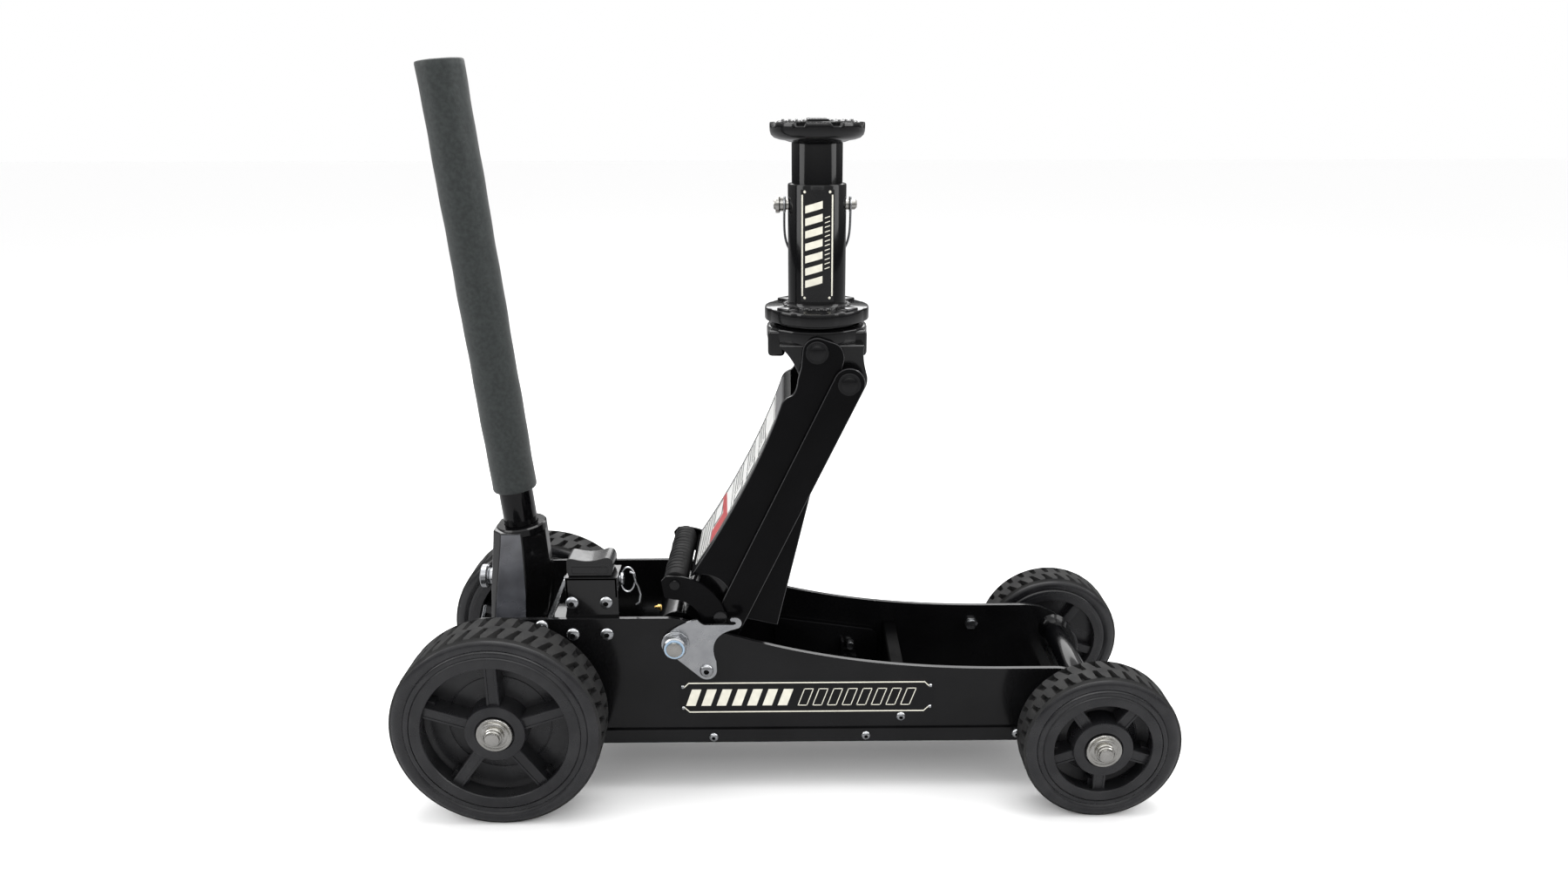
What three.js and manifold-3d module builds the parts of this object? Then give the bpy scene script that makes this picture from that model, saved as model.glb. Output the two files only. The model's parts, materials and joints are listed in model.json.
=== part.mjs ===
// Off-road hydraulic floor jack with its lift arm raised and an extension post on the saddle head.
// Millimetres, +Z up, +X towards the saddle end, +Y towards the jack's left side.
// The origin is on the ground, under the middle of the outline of the four tyres.
// Lengths along X are written from the rear axle; the group at the end moves them to the origin.

import * as THREE from 'three';
import { mergeVertices } from 'three/addons/utils/BufferGeometryUtils.js';
import Module from 'manifold-3d';

const wasm = await Module();
wasm.setup();

// ---- driving dimensions ------------------------------------------------------------------

const GAP = 0.3;                      // clearance between pieces that touch
const WHEELBASE = 662;

const REAR_WHEEL = { tyreR: 115, rimR: 93, lipR: 79.5, width: 56, faceY: 152, hubY: 150, spokeTurn: 90 };
const FRONT_WHEEL = { tyreR: 87.5, rimR: 66, lipR: 53.7, width: 45, faceY: 147, hubY: 147, spokeTurn: 270 };
const HUB_R = 33;
const SPOKES = 5;
const SPOKE_WIDTH = 13;
const AXLE_R = 12.5;
const AXLE_END_R = 8;
const WHEEL_WASHER_R = 19.7;
const WHEEL_NUT_R = 11;

const PLATE_OUT = 82.5;               // outer face of a side plate from the middle
const PLATE_T = 5;
const PLATE_IN = PLATE_OUT - PLATE_T;
const FRAME_TOP = 217.5;
const FRAME_LOW_TOP = 152;
const FRAME_BOTTOM = 62.5;
const NOSE = { x: 620, z: 82, r: 70 };

const ARM_PIVOT = new THREE.Vector2(191, 187);
const LINK_OFFSET = new THREE.Vector2(34, -33);     // from each arm pin to its link pin
const ARM_REACH = new THREE.Vector2(158, 328);      // arm pivot to head pin, raised
const HEAD_PIN = ARM_PIVOT.clone().add(ARM_REACH);
const LINK_PIVOT = ARM_PIVOT.clone().add(LINK_OFFSET);
const LINK_PIN = HEAD_PIN.clone().add(LINK_OFFSET);
const RAM_PIN = ARM_PIVOT.clone().add(new THREE.Vector2(45, -75));
const ARM_IN = 57;                    // inner and outer faces of the arm plates
const ARM_OUT = 62;
const LINK_IN = 63;
const LINK_OUT = 68;
const LINK_HALF = 17;
const PIN_R = 9.5;
const SHAFT_R = 12;
const STUB_R = 8;
const RAM_PIN_R = 7;
const ROOT_R = 26;

const HEAD_X = 350;                   // axis of the saddle head, post and saddle
const HEAD_TOP = 536;
const HEAD_R = 55;
const FLANGE_R = 55;
const FLANGE_LOW = 540;
const FLANGE_TOP = 553;
const POST_R = 31.2;
const POST_BORE_R = 27.4;
const POST_TOP = 685;
const SLIDE_R = 27;
const SLIDE_TOP = 727;
const SLIDE_LOW = 572;
const SLIDE_STEP = 37.5;              // distance between the height holes
const LOCK_PIN_R = 6;
const LOCK_PIN_Z = 663;
const SADDLE_R = 50;
const SADDLE_TOP = 747.5;

const HANDLE_MOUTH = new THREE.Vector3(7.6, 0, 300);
const HANDLE_LEAN = THREE.MathUtils.degToRad(5.05);
const HANDLE_R = 18.9;
const SLEEVE_R = 24.8;
const HANDLE_LENGTH = 512;            // above the socket's mouth
const SLEEVE_LOW = 43;
const HANDLE_PIVOT = new THREE.Vector2(6, 178);
const SOCKET_SHAFT_R = 9;
const ROLLER_DROP = 20;               // pump roller below the socket's pivot
const ROLLER_R = 7;

const RAM_Z = 106;
const CYLINDER_R = 32;
const CYLINDER_BORE_R = 20.3;
const ROD_R = 13;
const CARRY_GRIP = new THREE.Vector2(191.3, 254.5);
const CARRY_GRIP_R = 14.5;
const CARRY_IN = 70;
const CARRY_OUT = 74;
const BAND = { x: 188, z: 204, inner: 32, outer: 60.5 };

// ---- materials ---------------------------------------------------------------------------

const paint = (color, roughness, metalness) =>
  new THREE.MeshStandardMaterial({ color, roughness, metalness });
const GLOSS_BLACK = paint(0x0b0b0c, 0.16, 0.0);
const TYRE_RUBBER = paint(0x1b1b1c, 0.75, 0.0);
const RIM_PLASTIC = paint(0x17171a, 0.5, 0.0);
const FOAM = paint(0x2a2e2f, 0.85, 0.0);
const GRIP_RUBBER = paint(0x1f2022, 0.7, 0.0);
const ZINC = paint(0xc9ccd0, 0.3, 1.0);
const STEEL = paint(0x9a9da2, 0.3, 1.0);

// ---- solids ------------------------------------------------------------------------------

// A closed geometry as a solid whose faces point outwards.
function solid(geometry) {
  const bare = geometry.clone();
  bare.deleteAttribute('normal');
  bare.deleteAttribute('uv');
  const merged = mergeVertices(bare, 1e-4);
  const index = Array.from(merged.index.array);
  const triangles = [];
  for (let i = 0; i < index.length; i += 3) {
    const [a, b, c] = index.slice(i, i + 3);
    if (a !== b && b !== c && c !== a) triangles.push(a, b, c);
  }
  const points = merged.attributes.position;
  const [p, q, r] = [new THREE.Vector3(), new THREE.Vector3(), new THREE.Vector3()];
  let volume = 0;
  for (let i = 0; i < triangles.length; i += 3) {
    p.fromBufferAttribute(points, triangles[i]);
    q.fromBufferAttribute(points, triangles[i + 1]);
    r.fromBufferAttribute(points, triangles[i + 2]);
    volume += p.dot(q.cross(r));
  }
  if (volume < 0) triangles.reverse();
  const mesh = new wasm.Mesh({
    numProp: 3,
    vertProperties: new Float32Array(points.array),
    triVerts: new Uint32Array(triangles),
  });
  return new wasm.Manifold(mesh);
}

const join = (first, ...rest) => rest.reduce((whole, piece) => whole.add(piece), first);
const cut = (first, ...rest) => rest.reduce((whole, piece) => whole.subtract(piece), first);

function geometryOf(body) {
  const { vertProperties, triVerts } = body.getMesh();
  const geometry = new THREE.BufferGeometry();
  geometry.setAttribute('position', new THREE.BufferAttribute(vertProperties, 3));
  geometry.setIndex(new THREE.BufferAttribute(triVerts, 1));
  geometry.computeVertexNormals();
  return geometry;
}

function alongY(r, yMin, yMax, x, z, segments = 24) {
  const geometry = new THREE.CylinderGeometry(r, r, yMax - yMin, segments);
  return solid(geometry.translate(x, (yMin + yMax) / 2, z));
}

function alongX(r, xMin, xMax, y, z, segments = 24) {
  const geometry = new THREE.CylinderGeometry(r, r, xMax - xMin, segments).rotateZ(Math.PI / 2);
  return solid(geometry.translate((xMin + xMax) / 2, y, z));
}

function alongZ(r, zMin, zMax, x, y, segments = 32) {
  const geometry = new THREE.CylinderGeometry(r, r, zMax - zMin, segments).rotateX(Math.PI / 2);
  return solid(geometry.translate(x, y, (zMin + zMax) / 2));
}

function block(xMin, xMax, yMin, yMax, zMin, zMax) {
  const geometry = new THREE.BoxGeometry(xMax - xMin, yMax - yMin, zMax - zMin);
  return solid(geometry.translate((xMin + xMax) / 2, (yMin + yMax) / 2, (zMin + zMax) / 2));
}

// An outline drawn in X and Z, given thickness along Y.
function plate(outline, yMin, yMax, curveSegments = 7) {
  const settings = { depth: yMax - yMin, bevelEnabled: false, curveSegments };
  const geometry = new THREE.ExtrudeGeometry(outline, settings).rotateX(Math.PI / 2);
  return solid(geometry.translate(0, yMax, 0));
}

// An outline drawn in Y and Z, given thickness along X.
function crossPlate(outline, xMin, xMax) {
  const settings = { depth: xMax - xMin, bevelEnabled: false, curveSegments: 8 };
  const geometry = new THREE.ExtrudeGeometry(outline, settings);
  geometry.rotateX(Math.PI / 2).rotateZ(Math.PI / 2);
  return solid(geometry.translate(xMin, 0, 0));
}

function polygon(...corners) {
  return new THREE.Shape(corners.map(([a, b]) => new THREE.Vector2(a, b)));
}

// A profile of radius and height turned about the Y axis, or about Z.
function turnedY(profile, segments = 40) {
  const points = profile.map(([r, y]) => new THREE.Vector2(r, y));
  return solid(new THREE.LatheGeometry(points, segments));
}

function turnedZ(profile, segments = 36) {
  const points = profile.map(([r, z]) => new THREE.Vector2(r, z));
  return solid(new THREE.LatheGeometry(points, segments).rotateX(Math.PI / 2));
}

const onSide = (side, inner, outer) => (side < 0 ? [-outer, -inner] : [inner, outer]);

// ---- the assembly ------------------------------------------------------------------------

const jack = new THREE.Group();
jack.position.x = -(WHEELBASE + FRONT_WHEEL.tyreR - REAR_WHEEL.tyreR) / 2;

function add(name, body, material, parent = jack) {
  const mesh = new THREE.Mesh(geometryOf(body), material);
  mesh.name = name;
  parent.add(mesh);
  return mesh;
}

// ---- wheels: y runs inwards from the outer face of the tyre -------------------------------

function tyre({ tyreR, rimR, width }) {
  const bore = rimR + GAP;
  return turnedY([
    [bore, 1], [tyreR - 13, 0.3], [tyreR - 5, 3], [tyreR - 1, 8],
    [tyreR, width / 2], [tyreR - 1, width - 8], [tyreR - 5, width - 3],
    [tyreR - 13, width - 0.3], [bore, width - 1], [bore, 1],
  ]);
}

function rim({ rimR, lipR, width, faceY, hubY, spokeTurn }) {
  const hubStart = faceY - hubY;
  const hubEnd = faceY - PLATE_OUT - 1.8;
  const barrel = turnedY([
    [lipR, 0.5], [rimR - 2, 0.5], [rimR, 2], [rimR, width - 1],
    [lipR + 4, width - 1], [lipR + 4, 24], [lipR, 0.5],
  ]);
  const spokes = [];
  for (let i = 0; i < SPOKES; i += 1) {
    const spoke = new THREE.BoxGeometry(lipR + 5 - HUB_R / 2, 20, SPOKE_WIDTH);
    spoke.translate((lipR + 5 + HUB_R / 2) / 2, 17, 0);
    spoke.rotateY(-THREE.MathUtils.degToRad(spokeTurn + (i * 360) / SPOKES));
    spokes.push(solid(spoke));
  }
  const hub = alongY(HUB_R, hubStart, hubEnd, 0, 0, 28);
  const disc = alongY(lipR + 3, 24, 28, 0, 0, 40);
  const bore = alongY(AXLE_R + GAP, hubStart - 1, hubEnd + 1, 0, 0);
  return cut(join(barrel, hub, ...spokes, disc), bore);
}

function addWheel(name, size, side, x) {
  const wheel = new THREE.Group();
  wheel.position.set(x, side * size.faceY, size.tyreR);
  wheel.rotation.z = side < 0 ? 0 : Math.PI;
  jack.add(wheel);
  add(`${name}_tyre`, tyre(size), TYRE_RUBBER, wheel);
  add(`${name}_rim`, rim(size), RIM_PLASTIC, wheel);
  const face = size.faceY - size.hubY;
  const washer = alongY(WHEEL_WASHER_R, face - 3, face - GAP, 0, 0);
  add(`${name}_washer`, cut(washer, alongY(AXLE_END_R + GAP, face - 4, face, 0, 0)), ZINC, wheel);
  const nut = alongY(WHEEL_NUT_R, face - 10.3, face - 3.3, 0, 0, 6);
  add(`${name}_nut`, cut(nut, alongY(AXLE_END_R + GAP, face - 11, face - 3, 0, 0)), ZINC, wheel);
}

addWheel('rear_near', REAR_WHEEL, -1, 0);
addWheel('rear_far', REAR_WHEEL, 1, 0);
addWheel('front_near', FRONT_WHEEL, -1, WHEELBASE);
addWheel('front_far', FRONT_WHEEL, 1, WHEELBASE);

function axle({ tyreR, hubY }, x) {
  const shoulder = hubY - 0.5;
  const ends = alongY(AXLE_END_R, -hubY - 12, hubY + 12, x, tyreR);
  return join(alongY(AXLE_R, -shoulder, shoulder, x, tyreR), ends);
}

add('rear_axle', axle(REAR_WHEEL, 0), STEEL);
add('front_axle', axle(FRONT_WHEEL, WHEELBASE), STEEL);

// ---- frame -------------------------------------------------------------------------------

function sidePlateOutline() {
  const outline = new THREE.Shape();
  outline.moveTo(-20, FRAME_BOTTOM);
  outline.lineTo(672, FRAME_BOTTOM);
  outline.quadraticCurveTo(NOSE.x + NOSE.r, FRAME_BOTTOM, NOSE.x + NOSE.r, NOSE.z);
  outline.absarc(NOSE.x, NOSE.z, NOSE.r, 0, Math.PI / 2);
  outline.lineTo(560, FRAME_LOW_TOP);
  outline.bezierCurveTo(420, 153, 330, 171, 240, 200);
  outline.bezierCurveTo(215, 208, 205, FRAME_TOP, 180, FRAME_TOP);
  outline.lineTo(-23, FRAME_TOP);
  outline.absarc(-23, FRAME_TOP - 22, 22, Math.PI / 2, Math.PI);
  outline.lineTo(-45, 95);
  return outline;
}

function sidePlate(side) {
  const [low, high] = onSide(side, PLATE_IN, PLATE_OUT);
  const hole = (r, x, z) => alongY(r + GAP, low - 1, high + 1, x, z);
  return cut(
    plate(sidePlateOutline(), low, high),
    hole(AXLE_R, 0, REAR_WHEEL.tyreR),
    hole(AXLE_R, WHEELBASE, FRONT_WHEEL.tyreR),
    hole(SHAFT_R, ARM_PIVOT.x, ARM_PIVOT.y),
    hole(STUB_R, LINK_PIVOT.x, LINK_PIVOT.y),
    hole(SOCKET_SHAFT_R, HANDLE_PIVOT.x, HANDLE_PIVOT.y),
  );
}

add('side_plate_near', sidePlate(-1), GLOSS_BLACK);
add('side_plate_far', sidePlate(1), GLOSS_BLACK);
add('skid_pan', block(60, 625, -PLATE_OUT - 3, PLATE_OUT + 3, 59, FRAME_BOTTOM - GAP), GLOSS_BLACK);

const CROSS_HALF = PLATE_IN - GAP;
add('front_cross_tube', alongY(14, -CROSS_HALF, CROSS_HALF, 657, 120, 32), GLOSS_BLACK);

const bulkhead = join(
  block(437, 441, -CROSS_HALF, CROSS_HALF, FRAME_BOTTOM + GAP, 131),
  block(437, 453, -CROSS_HALF, CROSS_HALF, 127.5, 131),
);
add('mid_cross_member', bulkhead, GLOSS_BLACK);

// ---- hydraulic unit ----------------------------------------------------------------------

const PUMP_Z = HANDLE_PIVOT.y - ROLLER_DROP;
const CYLINDER_END = 124;
const BLOCK_FRONT = 60;

function powerUnit() {
  const base = block(18, BLOCK_FRONT, -46, 46, 66, 146);
  const pumpHead = block(37, 78, -24, 24, 140, 186);
  const ears = block(38, BLOCK_FRONT, -CROSS_HALF, CROSS_HALF, 100, 138);
  return cut(
    join(base, pumpHead, ears),
    alongX(CYLINDER_BORE_R, 21, BLOCK_FRONT + 1, 0, RAM_Z, 32),
    alongX(8.3, 36, 74, 0, PUMP_Z),
    alongX(6.3, 17, 21, -32, 82),
    alongZ(CYLINDER_R + 1, RAM_Z - 60, RAM_Z - 40, 90, 0),
  );
}

const cylinder = cut(
  alongX(CYLINDER_R, BLOCK_FRONT + GAP, CYLINDER_END, 0, RAM_Z, 36),
  alongX(CYLINDER_BORE_R, BLOCK_FRONT - 1, CYLINDER_END - 6, 0, RAM_Z, 32),
  alongX(ROD_R + GAP, CYLINDER_END - 8, CYLINDER_END + 1, 0, RAM_Z, 32),
);

function ramRod() {
  const piston = alongX(CYLINDER_BORE_R - GAP, 112, CYLINDER_END - 6 - GAP, 0, RAM_Z, 32);
  const rod = alongX(ROD_R, 112, RAM_PIN.x - 12, 0, RAM_Z, 32);
  const head = block(RAM_PIN.x - 16, RAM_PIN.x + 16, -ROD_R, ROD_R, RAM_Z - 23, RAM_Z + 23);
  const slot = block(RAM_PIN.x - 8.5, RAM_PIN.x + 8.5, -20, 20, RAM_Z - 15, RAM_Z + 15);
  return cut(join(piston, rod, head), slot);
}

add('power_unit', powerUnit(), GLOSS_BLACK);
add('ram_cylinder', cylinder, GLOSS_BLACK);
add('ram_rod', ramRod(), STEEL);
add('ram_pin', alongY(RAM_PIN_R, -36, 36, RAM_PIN.x, RAM_PIN.y), STEEL);
add('pump_plunger', alongX(8, HANDLE_PIVOT.x + ROLLER_R + 2 * GAP, 50, 0, PUMP_Z), STEEL);
add('release_valve', join(alongX(6, 4, 20.5, -32, 82), alongX(9, 2, 10, -32, 82, 6)), STEEL);

// ---- lift arm ----------------------------------------------------------------------------

const ARM_TOP_R = 15.5;

function armPlateOutline() {
  const outline = new THREE.Shape();
  outline.moveTo(305, 198);
  outline.lineTo(378, 507);
  outline.quadraticCurveTo(378, 522, 366, 525.5);
  outline.lineTo(HEAD_PIN.x + 4, HEAD_PIN.y + ARM_TOP_R - 0.5);
  outline.absarc(HEAD_PIN.x, HEAD_PIN.y, ARM_TOP_R, Math.PI * 0.42, Math.PI);
  outline.lineTo(332, 499);
  outline.lineTo(328.5, 485);
  outline.quadraticCurveTo(327, 470, 321, 467.5);
  outline.quadraticCurveTo(314, 465, 311, 459);
  outline.bezierCurveTo(290, 395, 244, 312, 207, 258);
  outline.lineTo(215, 261);
  outline.lineTo(248, 246);
  outline.lineTo(262, 214);
  outline.lineTo(271, 206);
  return outline;
}

function armPlate(side) {
  const [low, high] = onSide(side, ARM_IN, ARM_OUT);
  const bore = alongY(PIN_R + GAP, low - 1, high + 1, HEAD_PIN.x, HEAD_PIN.y);
  return cut(plate(armPlateOutline(), low, high), bore);
}

// The cast root carries the pivot boss, two clevis cheeks for the ram pin, and the web
// between the arm plates.
// Room about the arm pivot for the ram's slotted head.
const headRoom = cut(
  alongY(140, -14.5, 14.5, ARM_PIVOT.x, ARM_PIVOT.y, 48),
  alongY(50, -16, 16, ARM_PIVOT.x, ARM_PIVOT.y, 48),
);

function armRoot() {
  const half = ARM_IN - GAP;
  const web = plate(polygon(
    [178, 200], [200, 212], [224, 266], [252, 312], [300, 332],
    [328, 306], [303, 208], [262, 200], [214, 176], [190, 170],
  ), -half, half);
  const boss = alongY(ROOT_R, -half, half, ARM_PIVOT.x, ARM_PIVOT.y, 36);
  const cheeks = join(
    plate(polygon([174, 168], [221, 102], [252, 118], [258, 190], [205, 206]), -34, 34),
    alongY(17, -34, 34, RAM_PIN.x, RAM_PIN.y, 32),
  );
  const clevis = cut(cheeks, headRoom, alongY(RAM_PIN_R + GAP, -40, 40, RAM_PIN.x, RAM_PIN.y));
  const underWeb = headRoom.intersect(block(150, 300, -20, 20, 40, 188));
  const bore = alongY(SHAFT_R + GAP, -60, 60, ARM_PIVOT.x, ARM_PIVOT.y);
  return cut(join(cut(web, underWeb), boss, clevis), bore);
}

function armCoverOutline() {
  const outline = new THREE.Shape();
  outline.moveTo(207.6, 259.5);
  outline.bezierCurveTo(244, 312, 290, 395, 311, 458);
  outline.quadraticCurveTo(314, 464, 321, 466.5);
  outline.lineTo(319, 461);
  outline.quadraticCurveTo(316, 460, 314.5, 456);
  outline.bezierCurveTo(293.5, 393, 247.5, 310, 213, 261.5);
  return outline;
}

function armCover() {
  const half = ARM_IN - GAP;
  return plate(armCoverOutline(), -half, half, 12);
}

add('arm_plate_near', armPlate(-1), GLOSS_BLACK);
add('arm_plate_far', armPlate(1), GLOSS_BLACK);
add('arm_root', armRoot(), GLOSS_BLACK);
add('arm_cover', armCover(), GLOSS_BLACK);

const pivotShaft = join(
  alongY(SHAFT_R, -98, PLATE_OUT + 5, ARM_PIVOT.x, ARM_PIVOT.y),
  alongY(15.5, PLATE_OUT + 3.6, PLATE_OUT + 14, ARM_PIVOT.x, ARM_PIVOT.y, 6),
);
add('arm_pivot_shaft', pivotShaft, STEEL);
const lockNut = cut(
  join(
    alongY(15, -92, -PLATE_OUT - 3.6, ARM_PIVOT.x, ARM_PIVOT.y, 6),
    alongY(13.4, -96, -91, ARM_PIVOT.x, ARM_PIVOT.y),
  ),
  alongY(SHAFT_R + GAP, -97, -80, ARM_PIVOT.x, ARM_PIVOT.y),
);
add('arm_pivot_nut', lockNut, ZINC);

// ---- parallel links ----------------------------------------------------------------------

function linkOutline() {
  const lean = Math.atan2(ARM_REACH.y, ARM_REACH.x);
  const outline = new THREE.Shape();
  outline.absarc(LINK_PIN.x, LINK_PIN.y, LINK_HALF, lean - Math.PI / 2, lean + Math.PI / 2);
  outline.absarc(LINK_PIVOT.x, LINK_PIVOT.y, LINK_HALF, lean + Math.PI / 2, lean + Math.PI * 1.5);
  return outline;
}

function link(side) {
  const [low, high] = onSide(side, LINK_IN, LINK_OUT);
  return cut(
    plate(linkOutline(), low, high),
    alongY(PIN_R + GAP, low - 1, high + 1, LINK_PIN.x, LINK_PIN.y),
    alongY(STUB_R + GAP, low - 1, high + 1, LINK_PIVOT.x, LINK_PIVOT.y),
  );
}

function linkStub(side) {
  const [low, high] = onSide(side, ARM_OUT + 0.6, PLATE_OUT + 7.6);
  return alongY(STUB_R, low, high, LINK_PIVOT.x, LINK_PIVOT.y);
}

add('link_near', link(-1), GLOSS_BLACK);
add('link_far', link(1), GLOSS_BLACK);
add('link_stub_near', linkStub(-1), ZINC);
add('link_stub_far', linkStub(1), ZINC);
add('head_pin', alongY(PIN_R, -ARM_OUT - 3, ARM_OUT + 3, HEAD_PIN.x, HEAD_PIN.y), GLOSS_BLACK);
add('link_pin', alongY(PIN_R, -LINK_OUT - 2.5, LINK_OUT + 2.5, LINK_PIN.x, LINK_PIN.y), GLOSS_BLACK);

// ---- saddle head, post and saddle --------------------------------------------------------

const SPIGOT_R = 19;
const SPIGOT_LOW = 528;

function saddleHead() {
  const slab = alongZ(HEAD_R, 514, HEAD_TOP, HEAD_X, 0, 40);
  const neckOutline = new THREE.Shape();
  neckOutline.moveTo(316, 516);
  neckOutline.quadraticCurveTo(321, 504, 330, 487);
  neckOutline.lineTo(357, 464);
  neckOutline.absarc(LINK_PIN.x, LINK_PIN.y, 20.5, Math.PI * 1.25, Math.PI * 2.1);
  neckOutline.quadraticCurveTo(397, 506, 402, 516);
  const neck = plate(neckOutline, -50, 50);
  return cut(
    join(slab, neck),
    alongY(PIN_R + GAP, -60, 60, HEAD_PIN.x, HEAD_PIN.y),
    alongY(PIN_R + GAP, -60, 60, LINK_PIN.x, LINK_PIN.y),
    alongZ(SPIGOT_R + GAP, SPIGOT_LOW - GAP, HEAD_TOP + 1, HEAD_X, 0, 32),
  );
}

function extensionBase() {
  const spigot = alongZ(SPIGOT_R, SPIGOT_LOW, FLANGE_LOW, HEAD_X, 0, 32);
  const collar = alongZ(46, HEAD_TOP + GAP, FLANGE_LOW + 1, HEAD_X, 0, 40);
  const flange = alongZ(FLANGE_R, FLANGE_LOW, FLANGE_TOP, HEAD_X, 0, 40);
  const post = alongZ(POST_R, FLANGE_LOW + 2, POST_TOP, HEAD_X, 0, 40);
  return cut(
    join(spigot, collar, flange, post),
    alongZ(POST_BORE_R, FLANGE_LOW + 5, POST_TOP + 1, HEAD_X, 0, 40),
    alongX(LOCK_PIN_R + GAP, HEAD_X - 40, HEAD_X + 40, 0, LOCK_PIN_Z),
  );
}

// The slot lets the inner post rise past the lock pin by two hole steps.
function extensionSlide() {
  const slotHalf = LOCK_PIN_R + GAP;
  const slotLow = LOCK_PIN_Z - 2 * SLIDE_STEP;
  return cut(
    alongZ(SLIDE_R, SLIDE_LOW, SLIDE_TOP, HEAD_X, 0, 36),
    alongZ(21, SLIDE_LOW - 1, SLIDE_TOP - 12, HEAD_X, 0, 32),
    alongZ(12.3, SLIDE_TOP - 13, SLIDE_TOP + 1, HEAD_X, 0, 32),
    block(HEAD_X - 40, HEAD_X + 40, -slotHalf, slotHalf, slotLow, LOCK_PIN_Z),
    alongX(slotHalf, HEAD_X - 40, HEAD_X + 40, 0, LOCK_PIN_Z),
    alongX(slotHalf, HEAD_X - 40, HEAD_X + 40, 0, slotLow),
  );
}

function topSaddle() {
  const profile = [
    [0, 700], [12, 700], [12, SLIDE_TOP + GAP], [30, SLIDE_TOP + GAP], [34, 731],
    [SADDLE_R - 1, 736], [SADDLE_R, 738], [SADDLE_R, SADDLE_TOP], [SADDLE_R - 6, SADDLE_TOP],
    [SADDLE_R - 7, 743], [42, 743], [42, 750], [0, 750],
  ];
  return turnedZ(profile).translate([HEAD_X, 0, 0]);
}

function quickPin() {
  return join(
    alongX(LOCK_PIN_R, 306, 393, 0, LOCK_PIN_Z),
    alongX(9, 304, 312.5, 0, LOCK_PIN_Z),
  );
}

// The wire bail hangs on the pin by two eyes and passes behind the post.
const BAIL_R = 1.6;
const BAIL_TILT = THREE.MathUtils.degToRad(62);

function pinBail() {
  const leftEye = alongX(9, 314, 317, 0, LOCK_PIN_Z);
  const rightEye = alongX(9, 384, 387, 0, LOCK_PIN_Z);
  const half = 35.5;
  const drop = 76;
  const path = new THREE.CatmullRomCurve3([0, 0.12, 0.3, 0.5, 0.7, 0.88, 1].map((t) => {
    const turn = Math.PI * t;
    const out = 6 + (drop - 6) * Math.sin(turn) ** 0.6;
    return new THREE.Vector3(
      HEAD_X + 0.5 - half * Math.cos(turn) * (1 + 0.1 * Math.sin(turn)),
      out * Math.cos(BAIL_TILT),
      LOCK_PIN_Z - out * Math.sin(BAIL_TILT),
    );
  }));
  const section = new THREE.Shape();
  section.absarc(0, 0, BAIL_R, 0, Math.PI * 2);
  const wire = new THREE.ExtrudeGeometry(section, {
    steps: 28, curveSegments: 3, bevelEnabled: false, extrudePath: path,
  });
  const whole = join(leftEye, rightEye, solid(wire));
  return cut(whole, alongX(LOCK_PIN_R + 2 * GAP, 300, 400, 0, LOCK_PIN_Z));
}

add('saddle_head', saddleHead(), GLOSS_BLACK);
add('extension_base', extensionBase(), GLOSS_BLACK);
add('extension_slide', extensionSlide(), GLOSS_BLACK);
add('top_saddle', topSaddle(), GLOSS_BLACK);
add('quick_pin', quickPin(), ZINC);
add('pin_bail', pinBail(), ZINC);

// ---- hook brackets and carrying handle ---------------------------------------------------

function hookOutline() {
  const outline = new THREE.Shape();
  outline.absarc(ARM_PIVOT.x, ARM_PIVOT.y, 15, Math.PI * 0.7, Math.PI * 1.42);
  outline.absarc(LINK_PIVOT.x, LINK_PIVOT.y, 11.5, Math.PI * 1.3, Math.PI * 2);
  outline.lineTo(236, 165);
  outline.bezierCurveTo(230, 182, 232, 200, 259, 205.5);
  outline.absarc(258.5, 212.5, 6.5, -Math.PI / 2, Math.PI / 2);
  outline.lineTo(254, 218.5);
  outline.lineTo(254, 214.5);
  outline.lineTo(258, 214.5);
  outline.lineTo(258, 210.5);
  outline.lineTo(223.5, 210.5);
  outline.lineTo(216, 217);
  outline.quadraticCurveTo(200, 214, 187, 204);
  return outline;
}

function hookBracket(side) {
  const [low, high] = onSide(side, PLATE_OUT + GAP, PLATE_OUT + 3);
  return cut(
    plate(hookOutline(), low, high, 8),
    alongY(SHAFT_R + GAP, low - 1, high + 1, ARM_PIVOT.x, ARM_PIVOT.y),
    alongY(STUB_R + GAP, low - 1, high + 1, LINK_PIVOT.x, LINK_PIVOT.y),
  );
}

function carryOutline() {
  const { x, z, inner, outer } = BAND;
  const outline = new THREE.Shape();
  outline.moveTo(x + inner, z);
  outline.absarc(x, z, inner, 0, Math.PI * 0.49);
  outline.lineTo(x - 9, z + inner + 3);
  outline.lineTo(x - 12, z + outer - 6);
  outline.absarc(x, z, outer, Math.PI * 0.53, 0, true);
  outline.lineTo(x + outer, 193);
  outline.lineTo(218, 178);
  outline.absarc(ARM_PIVOT.x, ARM_PIVOT.y, 17, -Math.PI / 4, -Math.PI * 1.5, true);
  return outline;
}

function carryArm(side) {
  const [low, high] = onSide(side, CARRY_IN, CARRY_OUT);
  const bore = alongY(SHAFT_R + GAP, low - 1, high + 1, ARM_PIVOT.x, ARM_PIVOT.y);
  return cut(plate(carryOutline(), low, high, 10), bore);
}

const gripEnd = CARRY_IN - GAP;
add('hook_bracket_near', hookBracket(-1), ZINC);
add('hook_bracket_far', hookBracket(1), ZINC);
add('carry_arm_near', carryArm(-1), GLOSS_BLACK);
add('carry_arm_far', carryArm(1), GLOSS_BLACK);
add('carry_grip', alongY(CARRY_GRIP_R, -gripEnd, gripEnd, CARRY_GRIP.x, CARRY_GRIP.y, 28), GRIP_RUBBER);

// ---- handle and its socket ---------------------------------------------------------------

const SCREW_Z = 233;

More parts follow.
